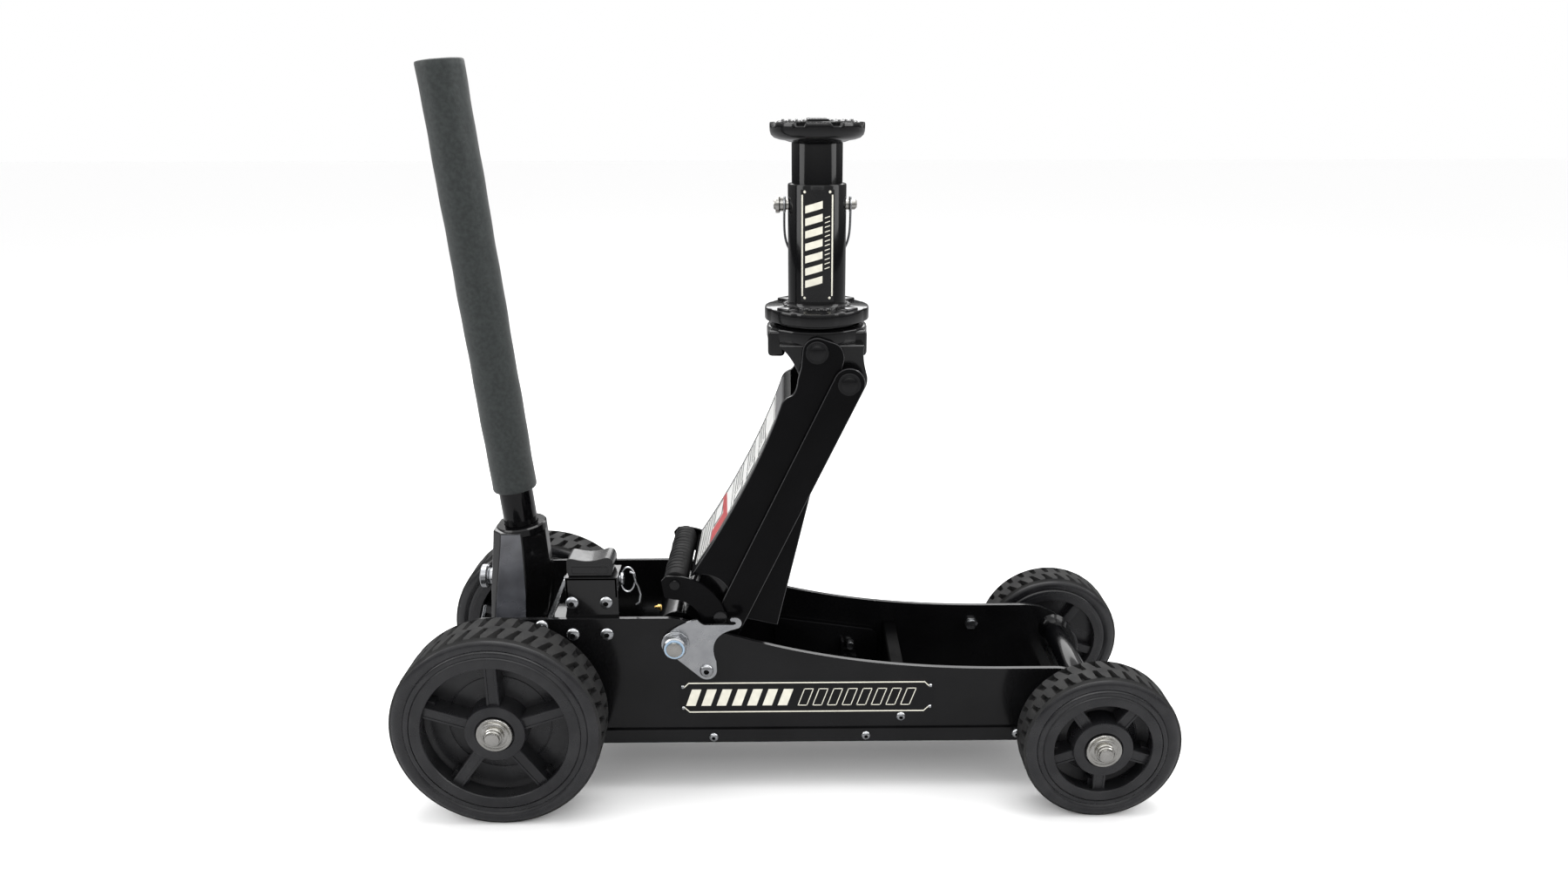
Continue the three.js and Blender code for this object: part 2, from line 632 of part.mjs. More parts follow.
function leaning(body) {
  const degrees = THREE.MathUtils.radToDeg(-HANDLE_LEAN);
  return body.rotate([0, degrees, 0]).translate(HANDLE_MOUTH.toArray());
}

function handleSocket() {
  const side = polygon([-22, 297.5], [36.5, 303], [41.5, 226], [30, 180], [-18, 180], [-31, 192]);
  const front = polygon([-29, 310], [29, 310], [34, 180], [-34, 180]);
  const corners = new THREE.CylinderGeometry(41, 57, 140, 4).rotateX(Math.PI / 2);
  corners.translate(6.5, 0, 240);
  const body = plate(side, -40, 40)
    .intersect(crossPlate(front, -60, 60))
    .intersect(solid(corners));
  const foot = alongY(12, -34, 34, HANDLE_PIVOT.x, HANDLE_PIVOT.y, 36);
  const toe = block(HANDLE_PIVOT.x - 5, HANDLE_PIVOT.x + 5, -12, 12, PUMP_Z, HANDLE_PIVOT.y - 10);
  const roller = alongY(ROLLER_R, -12, 12, HANDLE_PIVOT.x, PUMP_Z);
  return cut(
    join(body, foot, toe, roller),
    leaning(alongZ(HANDLE_R + 0.4, -92, 20, 0, 0, 36)),
    alongY(SOCKET_SHAFT_R + GAP, -40, 40, HANDLE_PIVOT.x, HANDLE_PIVOT.y),
    alongX(6.3, -40, 6, 0, SCREW_Z),
  );
}

function handleTube() {
  const tube = alongZ(HANDLE_R, -90, HANDLE_LENGTH, 0, 0, 36);
  return leaning(cut(tube, alongZ(HANDLE_R - 3, -91, HANDLE_LENGTH - 4, 0, 0, 32)));
}

function handleSleeve() {
  const sleeve = alongZ(SLEEVE_R, SLEEVE_LOW, HANDLE_LENGTH - 0.5, 0, 0, 36);
  return leaning(cut(sleeve, alongZ(HANDLE_R + 0.4, SLEEVE_LOW - 1, HANDLE_LENGTH, 0, 0, 36)));
}

function clampScrew() {
  return join(
    alongX(14, -45, -34, 0, SCREW_Z, 28),
    alongX(6, -35, -6.6, 0, SCREW_Z),
    alongX(10, -34, -29.5, 0, SCREW_Z, 6),
  );
}

function socketShaft() {
  const end = PLATE_OUT + GAP;
  return join(
    alongY(SOCKET_SHAFT_R, -end - 1, end + 1, HANDLE_PIVOT.x, HANDLE_PIVOT.y),
    alongY(13, -end - 5, -end, HANDLE_PIVOT.x, HANDLE_PIVOT.y),
    alongY(13, end, end + 5, HANDLE_PIVOT.x, HANDLE_PIVOT.y),
  );
}

add('handle_socket', handleSocket(), GLOSS_BLACK);
add('handle_tube', handleTube(), GLOSS_BLACK);
add('handle_sleeve', handleSleeve(), FOAM);
add('clamp_screw', clampScrew(), ZINC);
add('handle_pivot_shaft', socketShaft(), STEEL);

// ---- rest for the handle -----------------------------------------------------------------

function restBracket() {
  const lugHole = alongX(4.5, 66, 134, -58, 255);
  return cut(
    join(
      block(70, 128.5, -CROSS_HALF, -CROSS_HALF + 4, 192, 265),
      block(70, 128.5, -CROSS_HALF, -42, 261, 265),
      block(70, 74, -CROSS_HALF, -42, 240, 265),
      block(124.5, 128.5, -CROSS_HALF, -42, 240, 265),
    ),
    lugHole,
  );
}

function restCradle() {
  const outline = new THREE.Shape();
  outline.moveTo(73, 265 + GAP);
  outline.lineTo(122, 265 + GAP);
  outline.lineTo(124, 283);
  outline.quadraticCurveTo(122, 288, 116, 287);
  outline.quadraticCurveTo(98, 281, 80, 286);
  outline.quadraticCurveTo(73, 288, 72, 283);
  return plate(outline, -74, -44, 6);
}

add('rest_bracket', restBracket(), GLOSS_BLACK);
add('rest_cradle', restCradle(), GLOSS_BLACK);
add('rest_pin', join(alongX(4, 66, 133, -58, 255), alongX(7, 129.5, 133, -58, 255)), ZINC);

export default jack;
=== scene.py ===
import json
from math import atan2, cos, degrees, hypot, pi, radians, sin

import bmesh
import bpy
from mathutils import Matrix, Vector


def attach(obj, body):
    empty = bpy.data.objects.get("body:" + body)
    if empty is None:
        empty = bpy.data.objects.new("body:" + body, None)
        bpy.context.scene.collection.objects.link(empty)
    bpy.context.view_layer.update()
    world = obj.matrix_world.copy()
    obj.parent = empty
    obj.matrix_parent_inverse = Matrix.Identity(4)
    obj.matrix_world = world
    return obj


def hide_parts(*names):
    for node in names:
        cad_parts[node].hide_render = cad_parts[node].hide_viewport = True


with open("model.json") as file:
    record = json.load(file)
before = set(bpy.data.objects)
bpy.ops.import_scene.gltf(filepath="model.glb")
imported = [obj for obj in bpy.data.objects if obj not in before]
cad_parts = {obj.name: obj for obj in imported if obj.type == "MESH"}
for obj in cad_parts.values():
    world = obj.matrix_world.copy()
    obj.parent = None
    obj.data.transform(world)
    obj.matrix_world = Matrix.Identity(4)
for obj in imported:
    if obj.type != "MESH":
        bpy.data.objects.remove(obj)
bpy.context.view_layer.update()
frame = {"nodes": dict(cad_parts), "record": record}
nodes = frame["nodes"]

# Pieces are built in millimetres from the rear axle and moved to the row frame at the end.
REAR_AXLE_X = -0.31725
TO_ROW = Matrix.Translation((REAR_AXLE_X, 0, 0)) @ Matrix.Scale(0.001, 4)


def add(name, data):
    """A new object in the scene."""
    obj = bpy.data.objects.new(name, data)
    bpy.context.scene.collection.objects.link(obj)
    return obj


# ---- camera ----

lens = bpy.data.cameras.new("camera")
lens.sensor_width = 36
lens.lens = 24.51
lens.shift_x = -0.00976
lens.shift_y = -0.00833
camera = add("camera", lens)
pitch, yaw, roll = radians(-16.96), radians(-0.6), radians(-0.086)
camera.matrix_world = (
    Matrix.Translation((0.3186 + REAR_AXLE_X, -1.1584, 0.7667))
    @ Matrix.Rotation(yaw, 4, "Z")
    @ Matrix.Rotation(pi / 2 + pitch, 4, "X")
    @ Matrix.Rotation(roll, 4, "Z")
)
bpy.context.scene.camera = camera


# ---- materials ----

def fill(node, values):
    """Sets a node's own input values."""
    for name, value in values.items():
        node.inputs[name].default_value = value


class Mat:
    """A Principled material with procedural detail laid over it."""

    def __init__(self, name, color, roughness, metallic=0, specular=0.5, coat=0):
        self.mat = bpy.data.materials.new(name)
        self.mat.use_nodes = True
        self.nodes = self.mat.node_tree.nodes
        self.links = self.mat.node_tree.links
        self.shader = self.nodes["Principled BSDF"]
        fill(self.shader, {
            "Base Color": (*color, 1), "Roughness": roughness, "Metallic": metallic,
            "Specular IOR Level": specular, "Coat Weight": coat, "Coat Roughness": 0.06})
        self.color = color
        self.coords = self.nodes.new("ShaderNodeTexCoord").outputs["Object"]
        self.height = None

    def noise(self, scale, detail, stretch=(1, 1, 1)):
        mapping = self.nodes.new("ShaderNodeMapping")
        fill(mapping, {"Scale": stretch})
        self.links.new(self.coords, mapping.inputs["Vector"])
        node = self.nodes.new("ShaderNodeTexNoise")
        fill(node, {"Scale": scale, "Detail": detail})
        self.links.new(mapping.outputs["Vector"], node.inputs["Vector"])
        return node.outputs["Fac"]

    def tint(self, scale, other, low=0.35, high=0.65):
        """Blotches of another colour, where the noise goes from low to high."""
        ramp = self.nodes.new("ShaderNodeValToRGB")
        ramp.color_ramp.elements[0].position = low
        ramp.color_ramp.elements[1].position = high
        ramp.color_ramp.elements[0].color = (*self.color, 1)
        ramp.color_ramp.elements[1].color = (*other, 1)
        self.links.new(self.noise(scale, 4), ramp.inputs["Fac"])
        self.links.new(ramp.outputs["Color"], self.shader.inputs["Base Color"])
        return self

    def rough(self, scale, low, high, stretch=(1, 1, 1)):
        """Roughness between two values, over the middle of the noise's range."""
        node = self.nodes.new("ShaderNodeMapRange")
        fill(node, {"From Min": 0.3, "From Max": 0.7, "To Min": low, "To Max": high})
        self.links.new(self.noise(scale, 4, stretch), node.inputs["Value"])
        self.links.new(node.outputs["Result"], self.shader.inputs["Roughness"])
        return self

    def bump(self, scale, strength, distance):
        """Relief, laid over any relief before it."""
        node = self.nodes.new("ShaderNodeBump")
        fill(node, {"Strength": strength, "Distance": distance})
        self.links.new(self.noise(scale, 3), node.inputs["Height"])
        if self.height is not None:
            self.links.new(self.height, node.inputs["Normal"])
        self.height = node.outputs["Normal"]
        self.links.new(self.height, self.shader.inputs["Normal"])
        return self


PAINT = Mat("gloss_paint", (0.0033, 0.0033, 0.0036), 0.16, 0, 0.3, 0.1)
PAINT.rough(9, 0.13, 0.22).bump(420, 0.05, 0.0004).tint(14, (0.0055, 0.0055, 0.006))
# The arm, links and carry band are the same gloss black as the frame; this darker, less glossy copy of the
# frame's paint is painted shade, where these parts looked darker than the side plates under the light.
ARM_SHADED_PAINT = Mat("arm_shaded_paint", (0.0016, 0.0016, 0.0018), 0.2, 0, 0.1, 0.04)
ARM_SHADED_PAINT.rough(9, 0.17, 0.26).bump(420, 0.05, 0.0004).tint(14, (0.0026, 0.0026, 0.003))
CAST = Mat("cast_paint", (0.0025, 0.0025, 0.0027), 0.2, 0, 0.4, 0.4)
CAST.rough(30, 0.12, 0.22).bump(170, 0.05, 0.0008).bump(36, 0.06, 0.0016)
CAST.tint(20, (0.004, 0.004, 0.0044))
# The handle socket's near and far flat faces get this lighter, streaked grey paint: a painted reflection that
# stands in for the glare on these glossy facets.
SOCKET_PAINTED_GLARE = Mat("socket_painted_glare", (0.05, 0.052, 0.06), 0.3, 0, 1, 0.6)
SOCKET_PAINTED_GLARE.rough(26, 0.24, 0.4).bump(150, 0.06, 0.0008).bump(30, 0.14, 0.002)
SOCKET_PAINTED_GLARE.tint(18, (0.16, 0.165, 0.185), 0.4, 0.75)
# The bevel faces of the side plates, arm sides and links get this lighter, glossier paint: a painted
# highlight along their edges.
EDGE_HIGHLIGHT = Mat("painted_edge_highlight", (0.012, 0.012, 0.013), 0.2, 0, 1, 1).rough(40, 0.15, 0.3)
TUBE_PAINT = Mat("tube_paint", (0.0022, 0.0022, 0.0026), 0.13, 0, 0.28, 0.2)
TUBE_PAINT.rough(16, 0.1, 0.18).bump(300, 0.04, 0.0004)
RUBBER = Mat("tyre_rubber", (0.011, 0.011, 0.0115), 0.6, 0, 0.4)
RUBBER.tint(60, (0.02, 0.0197, 0.0193)).rough(45, 0.6, 0.82).bump(900, 0.25, 0.0004)
SIDEWALL = Mat("tyre_sidewall", (0.0075, 0.0075, 0.009), 0.26, 0, 0.7)
SIDEWALL.tint(40, (0.014, 0.014, 0.0155)).rough(55, 0.2, 0.3).bump(700, 0.05, 0.0003)
WHEEL = Mat("wheel_plastic", (0.009, 0.009, 0.0105), 0.3, 0, 0.55)
WHEEL.tint(30, (0.017, 0.017, 0.0185)).rough(70, 0.25, 0.36).bump(500, 0.06, 0.0004)
FOAM = Mat("sleeve_foam", (0.015, 0.0185, 0.0185), 0.5, 0, 0.45)
fill(FOAM.shader, {"Sheen Weight": 0.15})
FOAM.tint(260, (0.025, 0.031, 0.03)).bump(1500, 0.35, 0.0004).bump(120, 0.1, 0.0008)
GRIP = Mat("grip_rubber", (0.003, 0.003, 0.0033), 0.5, 0, 0.14).rough(80, 0.42, 0.58).bump(800, 0.2, 0.0004)
MOULDED = Mat("moulded_black", (0.005, 0.005, 0.0055), 0.2, 0, 0.45, 0.4)
MOULDED.rough(50, 0.14, 0.34).bump(300, 0.12, 0.0006)
ZINC = Mat("zinc_plate", (0.5, 0.51, 0.53), 0.26, 1)
ZINC.tint(70, (0.6, 0.61, 0.62)).rough(120, 0.2, 0.3).bump(380, 0.03, 0.0004)
NICKEL = Mat("turned_steel", (0.5, 0.49, 0.46), 0.26, 1)
NICKEL.tint(90, (0.6, 0.59, 0.56)).rough(160, 0.2, 0.3).bump(600, 0.03, 0.0003)
STEEL = Mat("ground_steel", (0.4, 0.41, 0.42), 0.3, 1)
STEEL.rough(60, 0.22, 0.4, (1, 12, 12)).bump(500, 0.06, 0.0003)
BRASS = Mat("brass", (0.72, 0.48, 0.16), 0.28, 1).rough(140, 0.2, 0.4)
WHITE = Mat("label_white", (0.78, 0.78, 0.77), 0.34, 0, 0.5)
WHITE.tint(50, (0.72, 0.72, 0.7)).bump(90, 0.04, 0.0004)
RED = Mat("label_red", (0.5, 0.012, 0.016), 0.34, 0, 0.5)
RED.tint(60, (0.42, 0.012, 0.014)).bump(90, 0.04, 0.0004)
INK = Mat("label_ink", (0.03, 0.03, 0.032), 0.4, 0, 0.5).rough(60, 0.34, 0.5)
CREAM = Mat("decal_cream", (0.74, 0.72, 0.62), 0.35, 0, 0.5)
CREAM.tint(120, (0.66, 0.64, 0.55)).rough(90, 0.3, 0.45)
# Near-black paint laid in the screw sockets, the inner post's holes and the handle socket's bore: painted
# shade in these recesses.
SHADOW = Mat("painted_recess_shade", (0.002, 0.002, 0.002), 0.6, 0, 0.2).rough(60, 0.5, 0.7)
# A near-black, dull paint for parts inside the frame, the cross member and the middle of the arm shaft:
# painted shade, where these gloss black parts sit between the side plates.
INNER_SHADE_PAINT = Mat("inner_painted_shade", (0.0006, 0.0006, 0.0007), 0.5, 0, 0.04)
INNER_SHADE_PAINT.rough(24, 0.42, 0.58).bump(200, 0.1, 0.0006)
NYLON = Mat("nylon_ring", (0.3, 0.42, 0.55), 0.4, 0, 0.5).rough(200, 0.3, 0.5)

NODE_LOOKS = {
    "gloss_black": PAINT, "cast_black": CAST, "zinc": ZINC, "steel": STEEL, "foam": FOAM,
    "grip_rubber": GRIP, "cradle_rubber": MOULDED, "tyre": RUBBER, "rim": WHEEL,
}
slot_of = {part["node"]: part["material_slot"] for part in frame["record"]["subparts"]}
for name, node in nodes.items():
    look = NODE_LOOKS[slot_of[name]]
    node.data.materials.clear()
    node.data.materials.append(look.mat)


# ---- building pieces ----

def arc(x, z, r, start, end, n=16):
    """Points on a circle from start to end degrees."""
    angles = [radians(start + (end - start) * i / n) for i in range(n + 1)]
    return [(x + r * cos(a), z + r * sin(a)) for a in angles]


def bezier(p0, p1, p2, p3, n):
    """Points on a cubic curve, without its first point."""
    points = []
    for i in range(1, n + 1):
        t = i / n
        w = ((1 - t) ** 3, 3 * t * (1 - t) ** 2, 3 * t * t * (1 - t), t ** 3)
        points.append(tuple(sum(k * p[c] for k, p in zip(w, (p0, p1, p2, p3))) for c in (0, 1)))
    return points


def curve2(p0, p1, p2, n):
    """Points on a quadratic curve, without its first point."""
    c1 = tuple(a + (b - a) * 2 / 3 for a, b in zip(p0, p1))
    c2 = tuple(a + (b - a) * 2 / 3 for a, b in zip(p2, p1))
    return bezier(p0, c1, c2, p2, n)


def put(axis, a, b, h):
    """A point at a, b in the two other axes and h along this one."""
    return {"X": (h, a, b), "Y": (a, h, b), "Z": (a, b, h)}[axis]


def bend(points, *controls, n):
    """Lengthens a line by a curve from its last point."""
    points += (curve2 if len(controls) == 2 else bezier)(points[-1], *controls, n)


class Piece:
    """A mesh under construction, in millimetres."""

    def __init__(self):
        self.bm = bmesh.new()
        self.mats = []

    def _index(self, look):
        if look not in self.mats:
            self.mats.append(look)
        return self.mats.index(look)

    def skin(self, low, high):
        """Quads between two rings of as many points."""
        corners = zip(low, low[1:] + low[:1], high[1:] + high[:1], high)
        return [self.bm.faces.new(quad) for quad in corners]

    def _bevel(self, faces, width, segments):
        edges = {e for f in faces for e in f.edges}
        sharp = [e for e in edges if e.is_manifold and e.calc_face_angle(0) > radians(25)]
        made = bmesh.ops.bevel(
            self.bm, geom=sharp, offset=width, segments=segments, profile=0.5, affect="EDGES",
            clamp_overlap=True)
        return made["faces"]

    def _added(self, before, look, bevel=0, segments=0, place=None, edge=None):
        """Gives the faces made since before their normals, bevel, look and place."""
        faces = [f for f in self.bm.faces if f not in before]
        bmesh.ops.recalc_face_normals(self.bm, faces=faces)
        rounded = []
        if bevel:
            rounded = self._bevel(faces, bevel, segments)
            faces = [f for f in self.bm.faces if f not in before]
        index = self._index(look)
        for f in faces:
            f.material_index = index
        # An edge look goes on the bevel faces only; the frame, arm and links use it for a painted highlight
        # along their edges.
        if edge is not None:
            index = self._index(edge)
            for f in rounded:
                f.material_index = index
        if place is not None:
            verts = list({v for f in faces for v in f.verts})
            bmesh.ops.transform(self.bm, matrix=place, verts=verts)

    def prism(self, outline, low, high, look, bevel=0.8, segments=2, axis="Y", place=None, edge=None):
        """An outline in the two other axes, given thickness along one axis."""
        before = set(self.bm.faces)
        ends = [[self.bm.verts.new(put(axis, a, b, h)) for a, b in outline] for h in (low, high)]
        self.bm.faces.new(ends[0])
        self.bm.faces.new(ends[1])
        self.skin(*ends)
        self._added(before, look, bevel, segments, place, edge)

    def block(self, x0, x1, y0, y1, z0, z1, look, bevel=0.8, segments=2, place=None):
        outline = [(x0, z0), (x1, z0), (x1, z1), (x0, z1)]
        self.prism(outline, y0, y1, look, bevel, segments, place=place)

    def turned(self, profile, look, centre=(0, 0), axis="Y", n=64, place=None, wave=None):
        """A profile of (radius, height) turned about a line along one axis."""
        before = set(self.bm.faces)

        def spot(r, h, turn):
            if wave:
                r, h = wave(r, h, turn)
            return self.bm.verts.new(put(axis, centre[0] + r * cos(turn), centre[1] + r * sin(turn), h))

        rings = [[spot(r, h, 2 * pi * i / n) for i in range(n if r else 1)] for r, h in profile]
        for low, high in zip(rings, rings[1:]):
            if len(low) == len(high) == n:
                self.skin(low, high)
                continue
            tip, ring = (low[0], high) if len(low) == 1 else (high[0], low)
            for p, q in zip(ring, ring[1:] + ring[:1]):
                self.bm.faces.new((tip, p, q))
        self._added(before, look, 0, 0, place)

    def rod(self, r, low, high, look, centre=(0, 0), axis="Y", n=40, chamfer=0.8):
        c = min(chamfer, r * 0.4)
        sign = 1 if high > low else -1
        profile = [(0, low), (r - c, low), (r - c * 0.3, low + sign * c * 0.3), (r, low + sign * c),
                   (r, high - sign * c), (r - c * 0.3, high - sign * c * 0.3), (r - c, high), (0, high)]
        self.turned(profile, look, centre, axis, n)

    def ring(self, r, bore, low, high, look, centre=(0, 0), axis="Y", n=56, chamfer=0.5, place=None):
        c = chamfer
        profile = [(bore, low), (r - c, low), (r, low + c), (r, high - c), (r - c, high), (bore, high),
                   (bore, low)]
        self.turned(profile, look, centre, axis, n, place)

    def hexagon(self, flat, low, high, look, centre=(0, 0), axis="Y", turn=0, bevel=0.5):
        outline = arc(*centre, flat / 2 / cos(pi / 6), turn, turn + 300, 5)
        self.prism(outline, min(low, high), max(low, high), look, bevel, axis=axis)

    def wire(self, points, r, look, closed=False):
        """A round section swept along points."""
        before = set(self.bm.faces)
        path = [Vector(p) for p in points]
        count = len(path)
        rings = []
        side = None
        for i, p in enumerate(path):
            ahead = path[(i + 1) % count] if closed or i + 1 < count else p
            behind = path[i - 1] if closed or i else p
            along = (ahead - behind).normalized()
            if side is None:
                side = along.orthogonal().normalized()
            side = (side - along * side.dot(along)).normalized()
            up = along.cross(side)
            rings.append([self.bm.verts.new(p + (side * cos(pi * k / 5) + up * sin(pi * k / 5)) * r)
                          for k in range(10)])
        for low, high in zip(rings, rings[1:] + (rings[:1] if closed else [])):
            self.skin(low, high)
        if not closed:
            self.bm.faces.new(rings[0])
            self.bm.faces.new(rings[-1])
        self._added(before, look)

    def done(self, name, body, slot, replaces=(), level=False, sharp=32):
        """Adds the piece to the scene; a level piece has its flat faces shaded flat."""
        mesh = bpy.data.meshes.new(name)
        self.bm.to_mesh(mesh)
        self.bm.free()
        mesh.transform(TO_ROW)
        for look in self.mats:
            mesh.materials.append(look.mat)
        mesh.shade_smooth()
        mesh.set_sharp_from_angle(angle=radians(34 if level else sharp))
        obj = add(name, mesh)
        if level:
            normals = obj.modifiers.new("normals", "WEIGHTED_NORMAL")
            normals.keep_sharp = True
            normals.weight = 60
        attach(obj, body)
        if replaces:
            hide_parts(*replaces)


SIDES = {"near": -1, "far": 1}
ARM_PIVOT = (191, 187)
LINK_FOOT = (225, 154)
HANDLE_PIVOT = (6, 178)
POST = (350, 0)
GRIP_AXIS = (191.3, 254.5)


# ---- wheels ----

REAR = dict(tyre=115, rim=93, lip=79.5, width=56, face=152, hub=150, blocks=40, turn=90, lean=0.3, x=0)
FRONT = dict(tyre=87.5, rim=66, lip=53.7, width=45, face=147, hub=147, blocks=34, turn=270,
             lean=-0.3, x=662)


def tread_half(piece, w, inner):
    """One half of a tyre with its row of wedge-shaped grooves; y runs inwards from the outer face."""
    R, width, blocks = w["tyre"], w["width"], w["blocks"]
    mid = width / 2
    pitch = 2 * pi / blocks
    rows = [(mid, 0, 0), (mid - 2.2, 0, 0), (mid - 2.7, 0.05, 1)]
    for i in range(1, 7):
        y = mid - 2.7 - (mid - 9.2) * i / 6
        rows.append((y, i / 6 * 0.9 + 0.05, 1))
    rows += [(5.4, 1, 0.92), (5, 1, 0)]
    band = R - w["rim"]
    shoulder = [(4.6, 2), (3.4, 3.4), (2.2, 5.2), (1.3, 7.2), (0.8, 9.4), (0.9, 11.6), (1.5, 13.4),
                (2.4, 14.8), (2.9, 15.6), (2.2, 16.3), (1.6, 17.2), (1.3, band - 2.2), (1.6, band - 1.2),
                (1.2, band)]
    rings = []
    for y, v, depth in rows:
        fall = 0.5 * max(0, (9 - y) / 4) ** 2
        slot_width = 0.3 + 0.2 * v
        left = 0.02 if v > 0.85 else 0.12
        right = 0.12 + slot_width
        block = 1 + left - right
        spots = [(left, 0), (left + 0.02, 6.4), (left + 0.6 * slot_width, 6.2), (right - 0.05, 3.4),
                 (right, 0), (right + block * 0.3, 0), (right + block * 0.6, 0), (right + block * 0.9, 0)]
        shift = w["lean"] * (mid - y) / R * (-1 if inner else 1)
        rings.append([(R - fall - cut * depth, y, (b + inner * 0.5 + u) * pitch + shift)
                      for b in range(blocks) for u, cut in spots])
    last = rings[-1]
    rings += [[(R - fall, y, turn) for _, _, turn in last] for y, fall in shoulder]
    before = set(piece.bm.faces)
    made = [[piece.bm.verts.new((r * cos(turn), w["width"] - y if inner else y, r * sin(turn)))
             for r, y, turn in ring] for ring in rings]
    looks = [piece._index(look) for look in (RUBBER, SIDEWALL)]
    for row, (low, high) in enumerate(zip(made, made[1:])):
        for face in piece.skin(low, high):
            face.material_index = looks[row > len(rows)]
    faces = [f for f in piece.bm.faces if f not in before]
    bmesh.ops.recalc_face_normals(piece.bm, faces=faces)


def wheel_place(w, side):
    spin = Matrix.Identity(4) if side < 0 else Matrix.Rotation(pi, 4, "Z")
    return Matrix.Translation((w["x"], side * w["face"], w["tyre"])) @ spin


def make_tyre(name, w, side, body):
    piece = Piece()
    tread_half(piece, w, False)
    tread_half(piece, w, True)
    bore = w["rim"] + 0.3
    piece.turned([(bore, 1.2), (bore, w["width"] - 1.2)], RUBBER, n=96)
    piece.bm.transform(wheel_place(w, side))
    piece.done(f"{name}_tread_tyre", body, "tyre", [f"{name}_tyre"], sharp=38)


def make_rim(name, w, side, body):
    piece = Piece()
    rim, lip, width = w["rim"], w["lip"], w["width"]
    deep = 27
    barrel = [(rim, width - 1), (rim, 2.2), (rim - 0.8, 1.4), (rim - 1.6, 0.7), (rim - 3, 0.3),
              (lip + 1.6, 0.3), (lip + 0.6, 0.7), (lip, 1.8), (lip + 0.8, 6), (lip + 2.4, 16),
              (lip + 3.6, deep), (lip + 4, width - 2), (lip + 4.6, width - 1), (rim, width - 1)]
    piece.turned(barrel, WHEEL, n=128)
    start = w["face"] - w["hub"]
    end = w["face"] - 84.3
    hub = [(12.8, start + 2.2), (20.6, start + 2.2), (21, start + 1.6), (21, start + 0.2),
           (21.6, start - 0.3), (23.2, start - 0.3), (24, start + 0.1), (31.2, start + 0.1),
           (32.4, start + 0.6), (33, start + 1.8), (33.6, start + 12), (34.6, deep), (33, deep + 3),
           (32, end - 1), (31, end), (12.8, end), (12.8, start + 2.2)]
    piece.turned(hub, WHEEL, n=96)
    step = 33 + (lip - 33) * 0.5
    dish = [(33, 25.2), (36, 26.4), (step - 2, 27.6), (step - 0.8, 27.9), (step - 0.4, 28.7),
            (step + 0.6, 28.7), (step + 1, 27.9), (lip - 4, 27.6), (lip, 26), (lip + 4, 24.6),
            (lip + 4, 30), (33, 30), (33, 25.2)]
    piece.turned(dish, WHEEL, n=128)
    for i in range(5):
        spin = Matrix.Rotation(-radians(w["turn"] + 72 * i), 4, "Y")
        half, root = 6.5, 31
        outline = [(root, -half - 0.6), (lip + 2.6, -half), (lip + 2.6, half), (root, half + 0.6)]
        top = 6.6
        piece.prism([(a, -b) for a, b in outline], 0, 1, WHEEL, 0,
                    place=spin @ Matrix.Translation((0, top, 0)) @ Matrix.Diagonal((1, 21, 1, 1)))
        for edge in (-1, 1):
            z = edge * (half - 1.1)
            piece.block(root, lip + 2, top - 0.9, top + 0.5, z - 1.1, z + 1.1, WHEEL, 0.5, 2, spin)
        piece.block(root, lip + 4, 29, w["width"] - 5, -half + 1, half - 1, WHEEL, 1.2, 2, spin)
        for z in (-half - 1.5, half + 1.5):
            piece.block(lip - 8, lip + 2.5, top + 8, 26, z - 2, z + 2, WHEEL, 0.8, 2, spin)
    piece.bm.transform(wheel_place(w, side))
    piece.done(f"{name}_spoked_rim", body, "rim", [f"{name}_rim"], True)


def make_wheel_fasteners(name, w, side):
    start = w["face"] - w["hub"]
    piece = Piece()
    washer = [(8.3, start - 0.4), (18.9, start - 0.4), (19.7, start - 1), (19.7, start - 2),
              (19.2, start - 2.8), (18, start - 3), (16.8, start - 2.6), (15.6, start - 1.9),
              (14.4, start - 1.9), (13.6, start - 2.6), (12.6, start - 2.8), (8.3, start - 2.8),
              (8.3, start - 0.4)]
    piece.turned(washer, NICKEL, n=72)
    piece.bm.transform(wheel_place(w, side))
    piece.done(f"{name}_dished_washer", "frame", "zinc", [f"{name}_washer"])
    nut = Piece()
    nut.ring(10.8, 8.2, start - 7.2, start - 3.2, NICKEL, n=48, chamfer=0.8)
    nut.turned([(8.2, start - 7), (9.6, start - 7.6), (9.4, start - 9), (8.6, start - 9.9),
                (8, start - 9.8), (8, start - 7)], NICKEL, n=48)
    nut.bm.transform(wheel_place(w, side))
    nut.done(f"{name}_castle_nut", "frame", "zinc", [f"{name}_nut"])


for label, w in (("rear", REAR), ("front", FRONT)):
    for where, side in SIDES.items():
        name = f"{label}_{where}"
        make_tyre(name, w, side, f"wheel_{name}")
        make_rim(name, w, side, f"wheel_{name}")
        make_wheel_fasteners(name, w, side)
    axle = Piece()
    x, z, hub = w["x"], w["tyre"], w["hub"]
    axle.rod(12.5, -hub + 0.5, hub - 0.5, STEEL, (x, z), n=56)
    for side in (-1, 1):
        axle.rod(7.9, side * (hub - 2), side * (hub + 11.8), NICKEL, (x, z), n=40, chamfer=1.4)
    axle.done(f"{label}_turned_axle", "frame", "steel", [f"{label}_axle"])


# ---- frame ----

def side_plate_outline():
    points = [(-20, 62.5), (640, 62.5)]
    bend(points, (690, 62.5), (690, 88), n=10)
    points += arc(620, 82, 70, 5, 90, 18)
    points += [(560, 152)]
    bend(points, (420, 153), (330, 171), (240, 200), n=26)
    bend(points, (215, 208), (205, 217.5), (180, 217.5), n=10)
    points += arc(-23, 195.5, 22, 90, 180, 10)
    points += [(-45, 95)]
    return points


